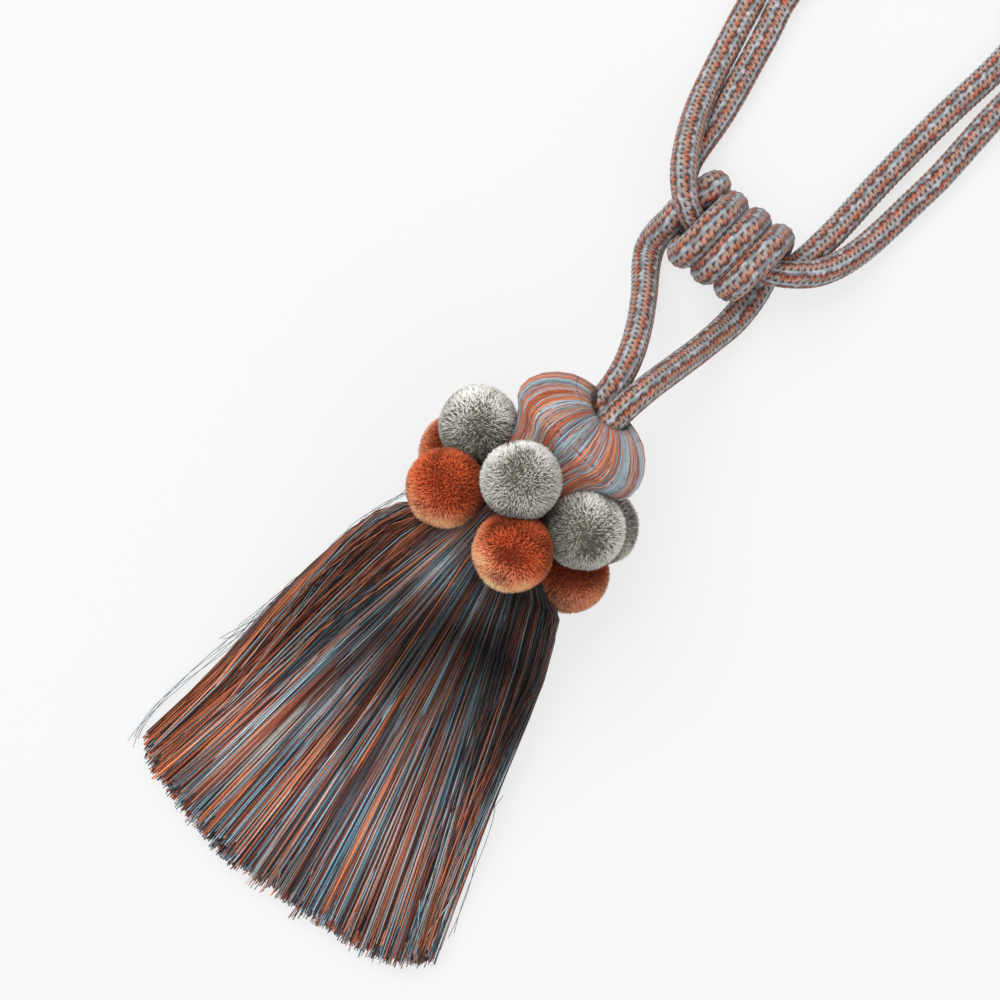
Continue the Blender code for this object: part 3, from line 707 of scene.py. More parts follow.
    def _stitches(self, count: int, chance: Generator) -> tuple[Array, Array]:
        """The relief and the colour of the braid at each ring and side.

        Args:
            count: How many rings there are.
            chance: Where small irregularities come from.

        Returns:
            Heights as (ring, side) and colours as (ring, side, rgb).
        """
        height = np.empty((count, self.sides))
        colours = np.empty((count, self.sides, 3))
        for side in range(self.sides):
            wale = BRAID_WALES[side % len(BRAID_WALES)]
            place = np.arange(count) + wale.offset
            number, phase = place // self.rings, place % self.rings
            order = np.arange(number[-1] + 1)
            stray = chance.integers(0, len(wale.stitches), len(order))
            odd = chance.random(len(order)) < self.odd
            order = np.where(odd, stray, order % len(wale.stitches))
            dyes = np.array([yarn.rgb for yarn in wale.stitches])[order][number]
            dyes = np.where(phase[:, None] < wale.gap_rings, wale.gap.rgb, dyes)
            lot = chance.uniform(0.72, 1.30, len(order))[number] * chance.uniform(0.88, 1.12, count)
            colours[:, side] = dyes * lot[:, None]
            height[:, side] = wale.height + wale.swell * (STITCH_PROFILE[phase] - 0.5)
        return height * self.relief, colours

    def _skin(self, count: int) -> tuple[list[list[int]], Array]:
        """The cord's faces and where they lie on the bake's map.

        Args:
            count: How many rings there are.

        Returns:
            The faces, with both cut ends last, and a place for each corner.
        """
        index = np.arange(count * self.sides).reshape(count, self.sides)
        faces = ring_quads(index).tolist() + [index[0].tolist(), index[-1, ::-1].tolist()]
        in_row = math.ceil((count - 1) / self.chart_rows)
        row, place = np.divmod(np.arange(count - 1)[:, None], in_row)
        u = [(place + end) / in_row * 0.98 + 0.01 for end in (0, 1)]
        side = np.arange(self.sides)
        v = [(row + 0.03 + 0.94 * (side + end) / self.sides) / self.chart_rows for end in (0, 1)]
        around = ring_angles(self.sides)
        disc = np.stack([np.cos(around), np.sin(around)], -1) * 0.004 + (0.99, 0.99)
        return faces, np.concatenate([chart_quads(u, v).reshape(-1, 2), disc, disc[::-1]])


@dataclass
class Cords:
    """Both braided cords: the hanger, wound round the embrace in the knot."""

    embrace: BraidedCord = BraidedCord("embrace_braid", BRAID, "braid", EMBRACE_ROUTE, seed=3)
    hanger: BraidedCord = BraidedCord(
        "hanger_braid", BRAID, "braid", hanger_route(),
        swell=0.14, slack=0.0018, chart_rows=24, seed=4,
    )

    def build(self) -> None:
        for cord, node in ((self.embrace, "embrace_cord"), (self.hanger, "hanger_cord")):
            thing, line = cord.build()
            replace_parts(thing, node)


# ---- head ----

NECK_MIDDLE = np.array((-0.0070, -0.0396, 0.0394)) - TABLE_CENTRE
HEAD_YAW = math.radians(10)
HEAD_PITCH = math.radians(6.7)
HEAD_DYES = {
    Yarn.RUST: 0.25, Yarn.LIGHT_BLUE: 0.26, Yarn.TAUPE: 0.22, Yarn.BLUE: 0.12, Yarn.ORANGE: 0.15,
}  # fmt: skip


@dataclass
class Head:
    """The mould and the silky thread laid over it, from the cords down to the neck."""

    # Places along the head's axis, from the neck to the pocket of the cords
    along: tuple[float, ...] = (
        -0.0060, 0.0010, 0.0050, 0.0090, 0.0112, 0.0132, 0.0150, 0.0165, 0.0184, 0.0216,
        0.0256, 0.0290, 0.0322, 0.0350, 0.0370, 0.0379, 0.0382, 0.0380, 0.0374,
    )  # fmt: skip
    # The radius there on the underside
    below: tuple[float, ...] = (
        0.0150, 0.0165, 0.0175, 0.0182, 0.0190, 0.0203, 0.0220, 0.0240, 0.0258, 0.0267,
        0.0261, 0.0244, 0.0219, 0.0188, 0.0154, 0.0130, 0.0112, 0.0103, 0.0100,
    )  # fmt: skip
    # The same places on the upper side
    along_above: tuple[float, ...] = (
        -0.0060, 0.0010, 0.0050, 0.0090, 0.0112, 0.0132, 0.0150, 0.0163, 0.0178, 0.0205,
        0.0236, 0.0260, 0.0281, 0.0299, 0.0314, 0.0322, 0.0325, 0.0324, 0.0320,
    )  # fmt: skip
    # The radius there on the upper side
    above: tuple[float, ...] = (
        0.0150, 0.0165, 0.0175, 0.0182, 0.0190, 0.0203, 0.0220, 0.0238, 0.0253, 0.0262,
        0.0250, 0.0229, 0.0202, 0.0172, 0.0142, 0.0122, 0.0110, 0.0103, 0.0100,
    )  # fmt: skip
    threads: int = 1300  # how many threads cover it
    thread: float = 0.00023  # the radius of one thread
    bundles: int = 110  # how many bundles of one dye they lie in
    dealt: tuple[int, ...] = (2, 3, 2, 1, 2)  # how many bundles in ten have each of the dyes
    odd: float = 0.25  # how many threads have another dye than their bundle
    # Where along the profile each thread has its points
    stops: tuple[float, ...] = (
        1.0, 0.93, 0.87, 0.81, 0.75, 0.68, 0.61, 0.54, 0.48, 0.42, 0.33, 0.2, 0.04,
    )  # fmt: skip
    mouth: float = 0.74  # from where along the profile it closes in on the cords

    def surface(self, place: Array, angle: Array, lift: Array | float) -> Array:
        """Points on the thread's surface.

        Args:
            place: How far along the profile, from 0 at the neck to 1 at the cords.
            angle: The angle round the head's axis, which is 0 on the upper side.
            lift: How far the point stands out.

        Returns:
            The points, in the CAD's frame.
        """
        upper = np.maximum(0.0, np.cos(angle))
        lower = 1 - upper
        tables = (self.along, self.along_above, self.below, self.above)
        along, along_above, below, above = (self._profile(place, table) for table in tables)
        along = along * lower + along_above * upper
        radius = below * lower + above * upper + lift
        closing = smooth_step(place, self.mouth, 1.0)
        radius = radius + (self._round_cords(angle) + lift - radius) * closing
        own = np.stack([radius * np.sin(angle), -radius * np.cos(angle), along], axis=-1)
        return NECK_MIDDLE + own @ self.axes().T

    @staticmethod
    def _profile(place: Array, values: Sequence[float]) -> Array:
        """The profile's values, rounded off between its own points.

        Args:
            place: How far along the profile, from 0 to 1.
            values: What the profile says at its own points.

        Returns:
            The value at each place.
        """
        fine = np.linspace(0.0, 1.0, 401)
        table = np.interp(fine, np.linspace(0.0, 1.0, len(values)), values)
        return np.interp(place, fine, rounded(table, 8))

    def _round_cords(self, angle: Array) -> Array:
        """How far the two cords reach from the head's axis.

        Args:
            angle: The angles round the axis.

        Returns:
            The distance at each angle.
        """
        out = np.stack([np.sin(angle), -np.cos(angle)], axis=-1)
        ends = np.array([LEFT_LEG[0][:3], RIGHT_LEG[-1][:3]]) - TABLE_CENTRE
        reach = np.full(np.shape(angle), 0.0055)
        for end in ends:
            middle = ((end - NECK_MIDDLE) @ self.axes())[:2]
            ahead = out @ middle
            beside = middle @ middle - ahead**2
            root = np.sqrt(np.maximum((CORD / 2) ** 2 - beside, 0.0))
            reach = np.maximum(reach, np.where(beside < (CORD / 2) ** 2, ahead + root, 0.0))
        return reach + 0.0002

    @staticmethod
    def axes() -> Array:
        """The head's axes: its own +Z runs from the neck out to the cords."""
        pitch = Matrix.Rotation(HEAD_PITCH - math.pi / 2, 3, "X")
        return np.array(Matrix.Rotation(-HEAD_YAW, 3, "Z") @ pitch)

    def build(self) -> None:
        """Lays the threads over the mould and dresses the mould itself."""
        chance = np.random.default_rng(21)
        count = self.threads
        place = np.broadcast_to(self.stops, (count, len(self.stops)))
        bundle = np.sort(np.arange(count) % self.bundles)
        spot = np.arange(self.bundles) + chance.uniform(-0.5, 0.5, self.bundles)
        angle = (spot / self.bundles * 2 * np.pi)[bundle] + chance.normal(0, 0.035, count)
        drift = chance.normal(0, 0.07, count)[:, None] * (1 - place)
        wave = 0.02 * np.sin(place * 7 + chance.uniform(0, ANY_PHASE, count)[:, None])
        angles = angle[:, None] + drift + wave
        lines = self.surface(place, angles, chance.uniform(-0.0001, 0.0004, count)[:, None])
        outward = unit(lines - self.surface(place, angles, -0.004))
        ten = np.repeat(np.arange(len(HEAD_DYES)), self.dealt)
        dealt = np.concatenate([chance.permutation(ten) for _ in range(self.bundles // len(ten))])
        colours = np.array([dye.rgb for dye in HEAD_DYES])[dealt][bundle]
        odd = chance.random(count) < self.odd
        colours[odd] = pick_dyes(chance, HEAD_DYES, count)[odd]
        colours = colours * chance.uniform(0.60, 1.35, count)[:, None]
        # Painted shade: the threads darken as they go into the pocket round the cords.
        pocket_shade = 1 - 0.85 * smooth_step(place, 0.80, 0.96)
        colours = colours[:, None] * pocket_shade[..., None]
        cover = Strands("head_threads", HEAD_THREAD, "head_thread")
        cover.spin(lines, self.thread, colours, outward, chance.uniform(0, ANY_PHASE, count))
        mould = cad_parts["head"].data
        mould.materials.clear()
        mould.materials.append(HEAD_SHADED_UNDER_LAYER.material())


# ---- skirt ----


class SkirtSection(NamedTuple):
    """The skirt's cross-section at y: its edges, and its heights in the middle and at the edges."""

    y: float | Array
    left: float | Array
    right: float | Array
    low: float | Array
    high: float | Array
    side_low: float | Array
    side_high: float | Array

    def across(self, share: Array) -> Array:
        """The x of places from -1 at the left edge to 1 at the right."""
        return (self.left + self.right) / 2 + (self.right - self.left) / 2 * share


# In the order of SkirtSection's values, from the neck to past the hem.
SKIRT_SECTIONS = (
    (-0.0500, -0.0215, 0.0070, 0.0265, 0.0480, 0.0345, 0.0385),
    (-0.0560, -0.0225, 0.0070, 0.0262, 0.0490, 0.0355, 0.0385),
    (-0.0660, -0.0290, 0.0150, 0.0230, 0.0490, 0.0330, 0.0370),
    (-0.0725, -0.0432, 0.0292, 0.0200, 0.0488, 0.0300, 0.0360),
    (-0.0850, -0.0488, 0.0332, 0.0120, 0.0462, 0.0220, 0.0310),
    (-0.0965, -0.0518, 0.0384, 0.0050, 0.0420, 0.0110, 0.0210),
    (-0.1070, -0.0541, 0.0411, 0.0022, 0.0382, 0.0040, 0.0150),
    (-0.1170, -0.0560, 0.0430, 0.0006, 0.0348, 0.0010, 0.0115),
    (-0.1275, -0.0579, 0.0458, 0.0, 0.0312, 0.0, 0.0088),
    (-0.1370, -0.0590, 0.0482, 0.0, 0.0283, 0.0, 0.0080),
    (-0.1560, -0.0608, 0.0528, 0.0, 0.0223, 0.0, 0.0068),
    (-0.1750, -0.0634, 0.0578, 0.0, 0.0177, 0.0, 0.0060),
    (-0.1970, -0.0688, 0.0640, 0.0, 0.0126, 0.0, 0.0052),
    (-0.2150, -0.0712, 0.0690, 0.0, 0.0086, 0.0, 0.0045),
)
CROWN_POWER = 2.4
SKIRT_DYES = {
    Yarn.BRICK: 0.26, Yarn.DEEP_RUST: 0.11, Yarn.TAUPE: 0.17, Yarn.BLUE: 0.18,
    Yarn.LIGHT_BLUE: 0.11, Yarn.NAVY: 0.12, Yarn.ORANGE: 0.05,
}  # fmt: skip
LEFT_DYES = {Yarn.BRICK: 0.5, Yarn.ORANGE: 0.32, Yarn.DEEP_RUST: 0.18}
PATCH_DYES = {Yarn.LIGHT_BLUE: 0.5, Yarn.BLUE: 0.3, Yarn.TAUPE: 0.2}
STRAY_DYES = {Yarn.TAUPE: 0.3, Yarn.BLUE: 0.4, Yarn.NAVY: 0.3}
# The ways of the threads that stand away at both edges, each after how many take it.
STRAY_WAYS = (
    (4, (-0.0590, -0.142, 0.004), (-0.0655, -0.160, 0.003), (-0.0698, -0.180, 0.0015),
     (-0.0702, -0.198, 0.0006)),
    (4, (-0.0390, -0.066, 0.036), (-0.0452, -0.0755, 0.032), (-0.0492, -0.0870, 0.024),
     (-0.0516, -0.1000, 0.014)),
    (3, (-0.0535, -0.112, 0.010), (-0.0555, -0.122, 0.007), (-0.0578, -0.132, 0.004),
     (-0.0620, -0.1415, 0.0015)),
    (3, (-0.0575, -0.126, 0.007), (-0.0592, -0.134, 0.005), (-0.0615, -0.143, 0.003),
     (-0.0652, -0.1518, 0.0010)),
    (2, (0.0455, -0.136, 0.006), (0.0510, -0.152, 0.004), (0.0568, -0.170, 0.002),
     (0.0628, -0.190, 0.0006)),
)  # fmt: skip


@dataclass(frozen=True)
class Patch:
    """An oval patch on the skirt, strongest in its middle."""

    x: float  # its middle, across
    y: float  # its middle, along
    half_x: float  # half its width
    half_y: float  # half its length
    strength: float = 1.0  # how strong it is, up to 1

    def at(self, points: Array) -> Array:
        """How strong it is in places.

        Args:
            points: The places, as (..., xyz).

        Returns:
            Its strength at each.
        """
        away = ((points[..., 0] - self.x) / self.half_x) ** 2
        away = away + ((points[..., 1] - self.y) / self.half_y) ** 2
        return self.strength * np.exp(-1.2 * away)


@dataclass(frozen=True)
class ThreadLayer:
    """One layer of the skirt's threads, in bundles of one dye with odd threads among them."""

    name: str  # the piece's name
    bundles: int  # how many bundles there are
    size: int  # how many threads each has
    points: int  # how many points each thread has
    # How high they lie, from 0 below to 1 on top, or None for all through the skirt
    up: float | None
    depth: tuple[float, float]  # how far under that they lie, least and most
    fan: float  # how straight they run from the neck to the hem, where 0 follows the outline
    root: float = -0.051  # where they start

    @property
    def bundle(self) -> Array:
        """The bundle that each thread is in."""
        return np.repeat(np.arange(self.bundles), self.size)


@dataclass
class Skirt:
    """The cut threads that fan out from under the pompons."""

    thread: float = 0.00021  # the radius of one thread
    stray: float = 0.00013  # the radius of one that stands away
    hem: float = -0.2113  # where the longest threads end
    hem_rise: float = 0.0130  # how much shorter they are at the two edges
    left_rise: float = 0.0048  # how much shorter still they are over the left third
    ragged: float = 0.0019  # how unevenly the bundles are cut
    frayed: float = 0.0022  # how much shorter single threads are than their bundle, on average
    shortest: float = 0.012  # how much shorter than the longest a thread may be at most
    wall_from: float = 0.93  # from where across on threads may lie above each other as a side wall
    wall_share: float = 0.65  # how many of those threads do
    sink: float = 0.0070  # how deep the hollows are
    odd: float = 0.60  # how many threads have another dye than their bundle
    rust_edge: float = -0.056  # most of the threads that end left of here are rust
    dull: float = 0.42  # how many threads are dull
    # The sunken patches under the lower pompons, where the threads part, darkened with painted
    # shade
    hollows: tuple[Patch, ...] = (
        Patch(0.0120, -0.0985, 0.0240, 0.0200),
        Patch(-0.0070, -0.1070, 0.0150, 0.0150, 0.82),
        Patch(0.0100, -0.0760, 0.0260, 0.0120, 0.75),
        Patch(0.0370, -0.1080, 0.0075, 0.0260, 0.60),
    )
    # Where the paler blue threads come out between two pompons
    blue_patch: Patch = Patch(-0.0155, -0.0818, 0.0085, 0.0110)
    # Where the backing has its rings
    stations: tuple[float, ...] = (
        -0.0505, -0.056, -0.066, -0.0725, -0.085, -0.0965, -0.107, -0.125, -0.15, -0.175, -0.196,
    )  # fmt: skip
    # The layers of thread
    layers: tuple[ThreadLayer, ...] = (
        ThreadLayer("skirt_threads_top_a", 330, 7, 10, 0.985, (0.0004, 0.0028), 0.25),
        ThreadLayer("skirt_threads_top_b", 330, 7, 10, 1.0, (-0.0004, 0.0006), 1.0),
        ThreadLayer("skirt_threads_under", 150, 8, 7, 0.0, (0.0, 0.0012), 0.4),
        ThreadLayer("skirt_threads_inside", 140, 8, 4, None, (0.0, 0.0), 0.5, root=-0.168),
    )

    @staticmethod
    def section(y: Array) -> SkirtSection:
        """The skirt's cross-section.

        Args:
            y: Where along the skirt.

        Returns:
            The section whose measures are arrays, with a value for each y.
        """
        table = np.array(SKIRT_SECTIONS)[::-1]
        fine = np.arange(-0.2190, -0.0465, 0.0005)
        coarse = [np.interp(fine, table[:, 0], column) for column in table.T[1:]]
        return SkirtSection(y, *(np.interp(y, fine, rounded(column, 10)) for column in coarse))

    def surface(self, y: Array, across: Array, up: Array | float) -> Array:
        """Points of the skirt's body.

        Args:
            y: Where along the skirt they are.
            across: From -1 at the left edge to 1 at the right.
            up: From 0 on the underside to 1 on the top.

        Returns:
            The points, in the routes' frame.
        """
        section = self.section(y)
        crown = (1 - np.minimum(np.abs(across), 1) ** CROWN_POWER) ** (1 / CROWN_POWER)
        low = section.side_low + (section.low - section.side_low) * crown
        high = section.side_high + (section.high - section.side_high) * crown
        return np.stack([section.across(across), y, low + (high - low) * up], axis=-1)

    def hollow_depth_and_shade(self, points: Array) -> Array:
        """How deep the hollows are at those points, which also sets their painted shade."""
        return np.max([hollow.at(points) for hollow in self.hollows], axis=0)

    def build(self) -> None:
        """Builds the backing and all the layers of thread."""
        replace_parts(self._backing(), "skirt")
        chance = np.random.default_rng(31)
        for layer in self.layers:
            self._layer(layer, chance)
        self._strays()

    def _backing(self) -> Object:
        """The mass of thread inside the skirt, seen only between the outer threads, dark with
        painted shade.

        Returns:
            The backing's object.
        """
        sides = 96
        around = ring_angles(sides)
        across = np.cos(around) * 0.94
        up = 0.5 + 0.5 * np.sign(np.sin(around))
        y = np.repeat(np.array(self.stations)[:, None], sides, axis=1)
        outside, middle = self.surface(y, across, up), self.surface(y, across, 0.5)
        inset = 0.0022 + 0.0006 * (np.arange(sides) % 2)
        points = outside + unit(middle - outside) * inset[:, None]
        points[..., 2] -= np.where(up > 0.5, self.hollow_depth_and_shade(points) * self.sink, 0.0)
        closing = np.abs(np.sin(around)) < 0.12
        points[:, closing] = middle[:, closing]
        points[..., 2] = np.maximum(points[..., 2], 0.0006)
        index = np.arange(y.size).reshape(y.shape)
        faces = ring_quads(index)[:, [0, 3, 2, 1]].tolist()
        faces += [index[0, ::-1].tolist(), index[-1].tolist()]
        # Painted shade: the backing takes the darkest dyes, in streaks, for the shade between the
        # outer threads.
        shade_streaks = np.array([Yarn.MAROON.rgb, Yarn.NAVY.rgb, Yarn.DEEP_RUST.rgb, Yarn.NAVY.rgb])
        colours = np.broadcast_to(shade_streaks[np.arange(sides) % 4], points.shape)
        uvs = 0.02 + 0.96 * on_map(np.array(sum(faces, [])), sides) / (sides, len(self.stations))
        piece = Piece("skirt_shade_backing", SHADE_BACKING, "skirt_thread")
        return piece.place(points - TABLE_CENTRE, faces, colours, uvs)

    def _ends(self, layer: ThreadLayer, chance: Generator) -> tuple[Array, Array, Array]:
        """Where across the skirt each thread starts and ends.

        Args:
            layer: The layer of threads.
            chance: Where the irregularities come from.

        Returns:
            The starts and the ends, from -1 to 1, and which threads are in a side wall.
        """
        bundles, bundle = layer.bundles, layer.bundle
        count = len(bundle)
        foot = (np.arange(bundles) + chance.uniform(-0.6, 0.6, bundles)) / (bundles - 1) * 2 - 1
        foot = np.sign(foot) * np.minimum(np.abs(foot), 1.0) ** 0.94
        head = foot * 0.97 + chance.normal(0, 0.10, bundles)
        wide = chance.uniform(0.008, 0.036, bundles)[bundle]
        feet = np.clip(foot[bundle] + wide * chance.normal(0, 1, count), -1.0, 1.0)
        heads = head[bundle] + 0.7 * wide * chance.normal(0, 1, count)
        heads = heads + chance.normal(0, 0.03, count)
        wall = (np.abs(feet) > self.wall_from) & (chance.random(count) < self.wall_share)
        wall &= layer.up is not None
        at_side = np.sign(feet) * chance.uniform(0.95, 1.0, count)
        return np.where(wall, at_side, np.clip(heads, -0.99, 0.99)), feet, wall

    def _layer(self, layer: ThreadLayer, chance: Generator) -> None:
        """Builds one layer of threads.

        Args:
            layer: The layer.
            chance: Where the irregularities come from.
        """
        bundles, bundle = layer.bundles, layer.bundle
        count = len(bundle)
        heads, feet, wall = self._ends(layer, chance)
        cut = chance.normal(0, self.ragged, bundles)[bundle]
        cut = cut + chance.exponential(self.frayed, count)
        rise = self.hem_rise * np.abs(feet) ** 4 + self.left_rise * smooth_step(-feet, 0.15, 0.75)
        end = self.hem + rise + np.minimum(cut, self.shortest)
        share = np.linspace(0, 1, layer.points)
        if layer.points > 4:  # they stand closer together near the neck
            share = np.interp(share, np.linspace(0, 1, 5), (0.0, 0.10, 0.24, 0.50, 1.0))
        y = layer.root + (end[:, None] - layer.root) * share
        sway = 0.006 * chance.normal(0, 1, bundles)[bundle][:, None]
        phase = chance.uniform(0, ANY_PHASE, bundles)[bundle][:, None]
        waves, start = chance.uniform(2, 6, count), chance.uniform(0, ANY_PHASE, count)
        own = 0.004 * np.sin(share * waves[:, None] + start[:, None])
        across = heads[:, None] + (feet - heads)[:, None] * share**1.1
        across = self._straighten(y, across, share, heads, layer.fan)
        across = across + (sway * np.sin(share * 4 + phase) + own) * np.sin(np.pi * share) ** 0.7
        across = np.clip(across, -1.0, 1.0)
        up = chance.uniform(0.04, 0.96, count)
        if layer.up is not None:
            up = np.where(wall, up, layer.up)
        lines = self.surface(y, across, up[:, None])
        inward = self.surface(y, across * 0.97, 0.5) - lines
        inward[..., 1] = 0.0
        under = chance.uniform(*layer.depth, bundles)[bundle] + chance.uniform(0, 0.0006, count)
        weave = 0.5 - 0.5 * np.cos(share * chance.uniform(3, 11, bundles)[bundle][:, None] + phase)
        under = under[:, None] + 0.0013 * weave * (layer.depth[1] > 0)
        lines = lines + unit(inward) * under[..., None]
        # How deep the hollows are here: they sink the top threads and also set the threads' painted
        # shade.
        dark = self.hollow_depth_and_shade(lines) * np.where(chance.random(count) < 0.15, 0.80, 1.0)[:, None]
        if layer.up is None or layer.up > 0.5:
            lines[..., 2] -= dark * self.sink
        lines[..., 2] = np.maximum(lines[..., 2], self.thread)
        colours = self._dyes(layer, chance, lines, dark, under)
        radii = self.thread * chance.uniform(0.8, 1.25, count)[:, None]
        piece = Strands(layer.name, SKIRT_THREAD, "skirt_thread")
        piece.spin(lines - TABLE_CENTRE, radii, colours, UP, chance.uniform(0, ANY_PHASE, count))

    def _straighten(self, y: Array, across: Array, share: Array, heads: Array, fan: float) -> Array:
        """Lets the threads run straight from the neck to the hem instead of with the outline.

        Args:
            y: Where along the skirt each thread's points are.
            across: Where across it they would be with the outline.
            share: How far along the thread each point is.
            heads: Where across the neck each thread starts.
            fan: How much of the straight course they take.

        Returns:
            Where across the skirt each point is.
        """
        section = self.section(y)
        middle, half = section.across(0.0), (section.right - section.left) / 2
        fan = fan * (1 - smooth_step(np.abs(across), 0.70, 0.97))
        course = middle + half * across
        start = middle[:, :1] + 0.7 * half[:, :1] * heads[:, None]
        straight = start + (course[:, -1:] - start) * share
        return ((1 - fan) * course + fan * straight - middle) / half

    def _dyes(
        self, layer: ThreadLayer, chance: Generator, lines: Array, dark: Array, under: Array
    ) -> Array:
        """The colour of each thread along its length, with painted shade.

        Args:
            layer: The layer of threads.
            chance: Where the choice comes from.
            lines: The threads' centre lines.
            dark: How deep the hollows are along them, which sets their painted shade.
            under: How deep each thread lies.

        Returns:
            The colours, as (thread, point, rgb).
        """
        count = len(lines)
        colours = pick_dyes(chance, SKIRT_DYES, layer.bundles)[layer.bundle]
        odd = chance.random(count) < self.odd
        colours[odd] = pick_dyes(chance, SKIRT_DYES, count)[odd]
        at_left = lines[:, -1, 0] < self.rust_edge + 0.006 * chance.normal(0, 1, count)
        at_left &= chance.random(count) < 0.65
        colours[at_left] = pick_dyes(chance, LEFT_DYES, count)[at_left]
        patch = self.blue_patch.at(lines)
        blue = pick_dyes(chance, PATCH_DYES, count)
        bluer = (patch * (chance.random(count) < 0.7)[:, None])[..., None]
        colours = colours[:, None] * (1 - bluer) + blue[:, None] * bluer
        dull, bright = chance.uniform(0.14, 0.55, count), chance.uniform(0.90, 2.00, count)
        colours = colours * np.where(chance.random(count) < self.dull, dull, bright)[:, None, None]
        # Painted shade: the threads are darker in the hollows, towards the neck under the pompons
        # and the deeper they lie; they are lighter in the blue patch.
        painted_shade = (1 - 0.97 * np.minimum(dark, 0.99)) ** 1.6
        painted_shade = painted_shade * (0.49 + 0.80 * smooth_step(-lines[..., 1], 0.118, 0.185) + 0.30 * patch)
        painted_shade = painted_shade * (1 - 0.45 * np.clip(under / 0.003, 0, 1))
        return colours * painted_shade[..., None]

    def _strays(self) -> None:
        """The few threads that stand away from the rest at both edges."""
        chance = np.random.default_rng(41)
        lines, dyes = [], []
        for number, *way in STRAY_WAYS:
            for _ in range(number):
                moved = way + chance.normal(0, 0.0011, (4, 3)) * (1.0, 2.0, 0.3)
                moved[:, 2] = np.maximum(moved[:, 2], self.thread)
                weights = np.polynomial.polynomial.polyfit(np.arange(4) / 3, moved, 3)
                lines.append(np.polynomial.polynomial.polyval(np.linspace(0, 1, 12), weights).T)
                dyes.append(pick_dyes(chance, STRAY_DYES, 1) * 0.6)
        lines = np.array(lines)
        lines[..., 2] = np.maximum(lines[..., 2], self.thread)
        piece = Strands("skirt_stray_threads", SKIRT_THREAD, "skirt_thread")
        piece.spin(lines - TABLE_CENTRE, self.stray, np.array(dyes), UP, np.zeros(len(lines)))


# ---- pompons ----

# A tuft has three points at its root and one at its tip.
TUFT_FACES = ((0, 1, 3), (1, 2, 3), (2, 0, 3), (2, 1, 0))
TUFT_CHART = np.array([[0.1, 0.1], [0.9, 0.1], [0.5, 0.5], [0.5, 0.9]])
LEAST_LEAN = 0.05  # a flat shortens the pile that leans towards it by more than this


class PomponDye(Enum):
    """The two kinds of pompon.

    Each has the dye of its tips in painted shade and in painted light, how much the
    pile clumps, its finish, and the record's slot.
    """

    GREY = ((0.98, 0.95, 0.87), (1.02, 0.97, 0.87), 1.0, GREY_PILE, "grey_pile")
    RUST = ((0.86, 0.200, 0.074), (1.25, 0.52, 0.285), 0.5, RUST_PILE, "rust_pile")


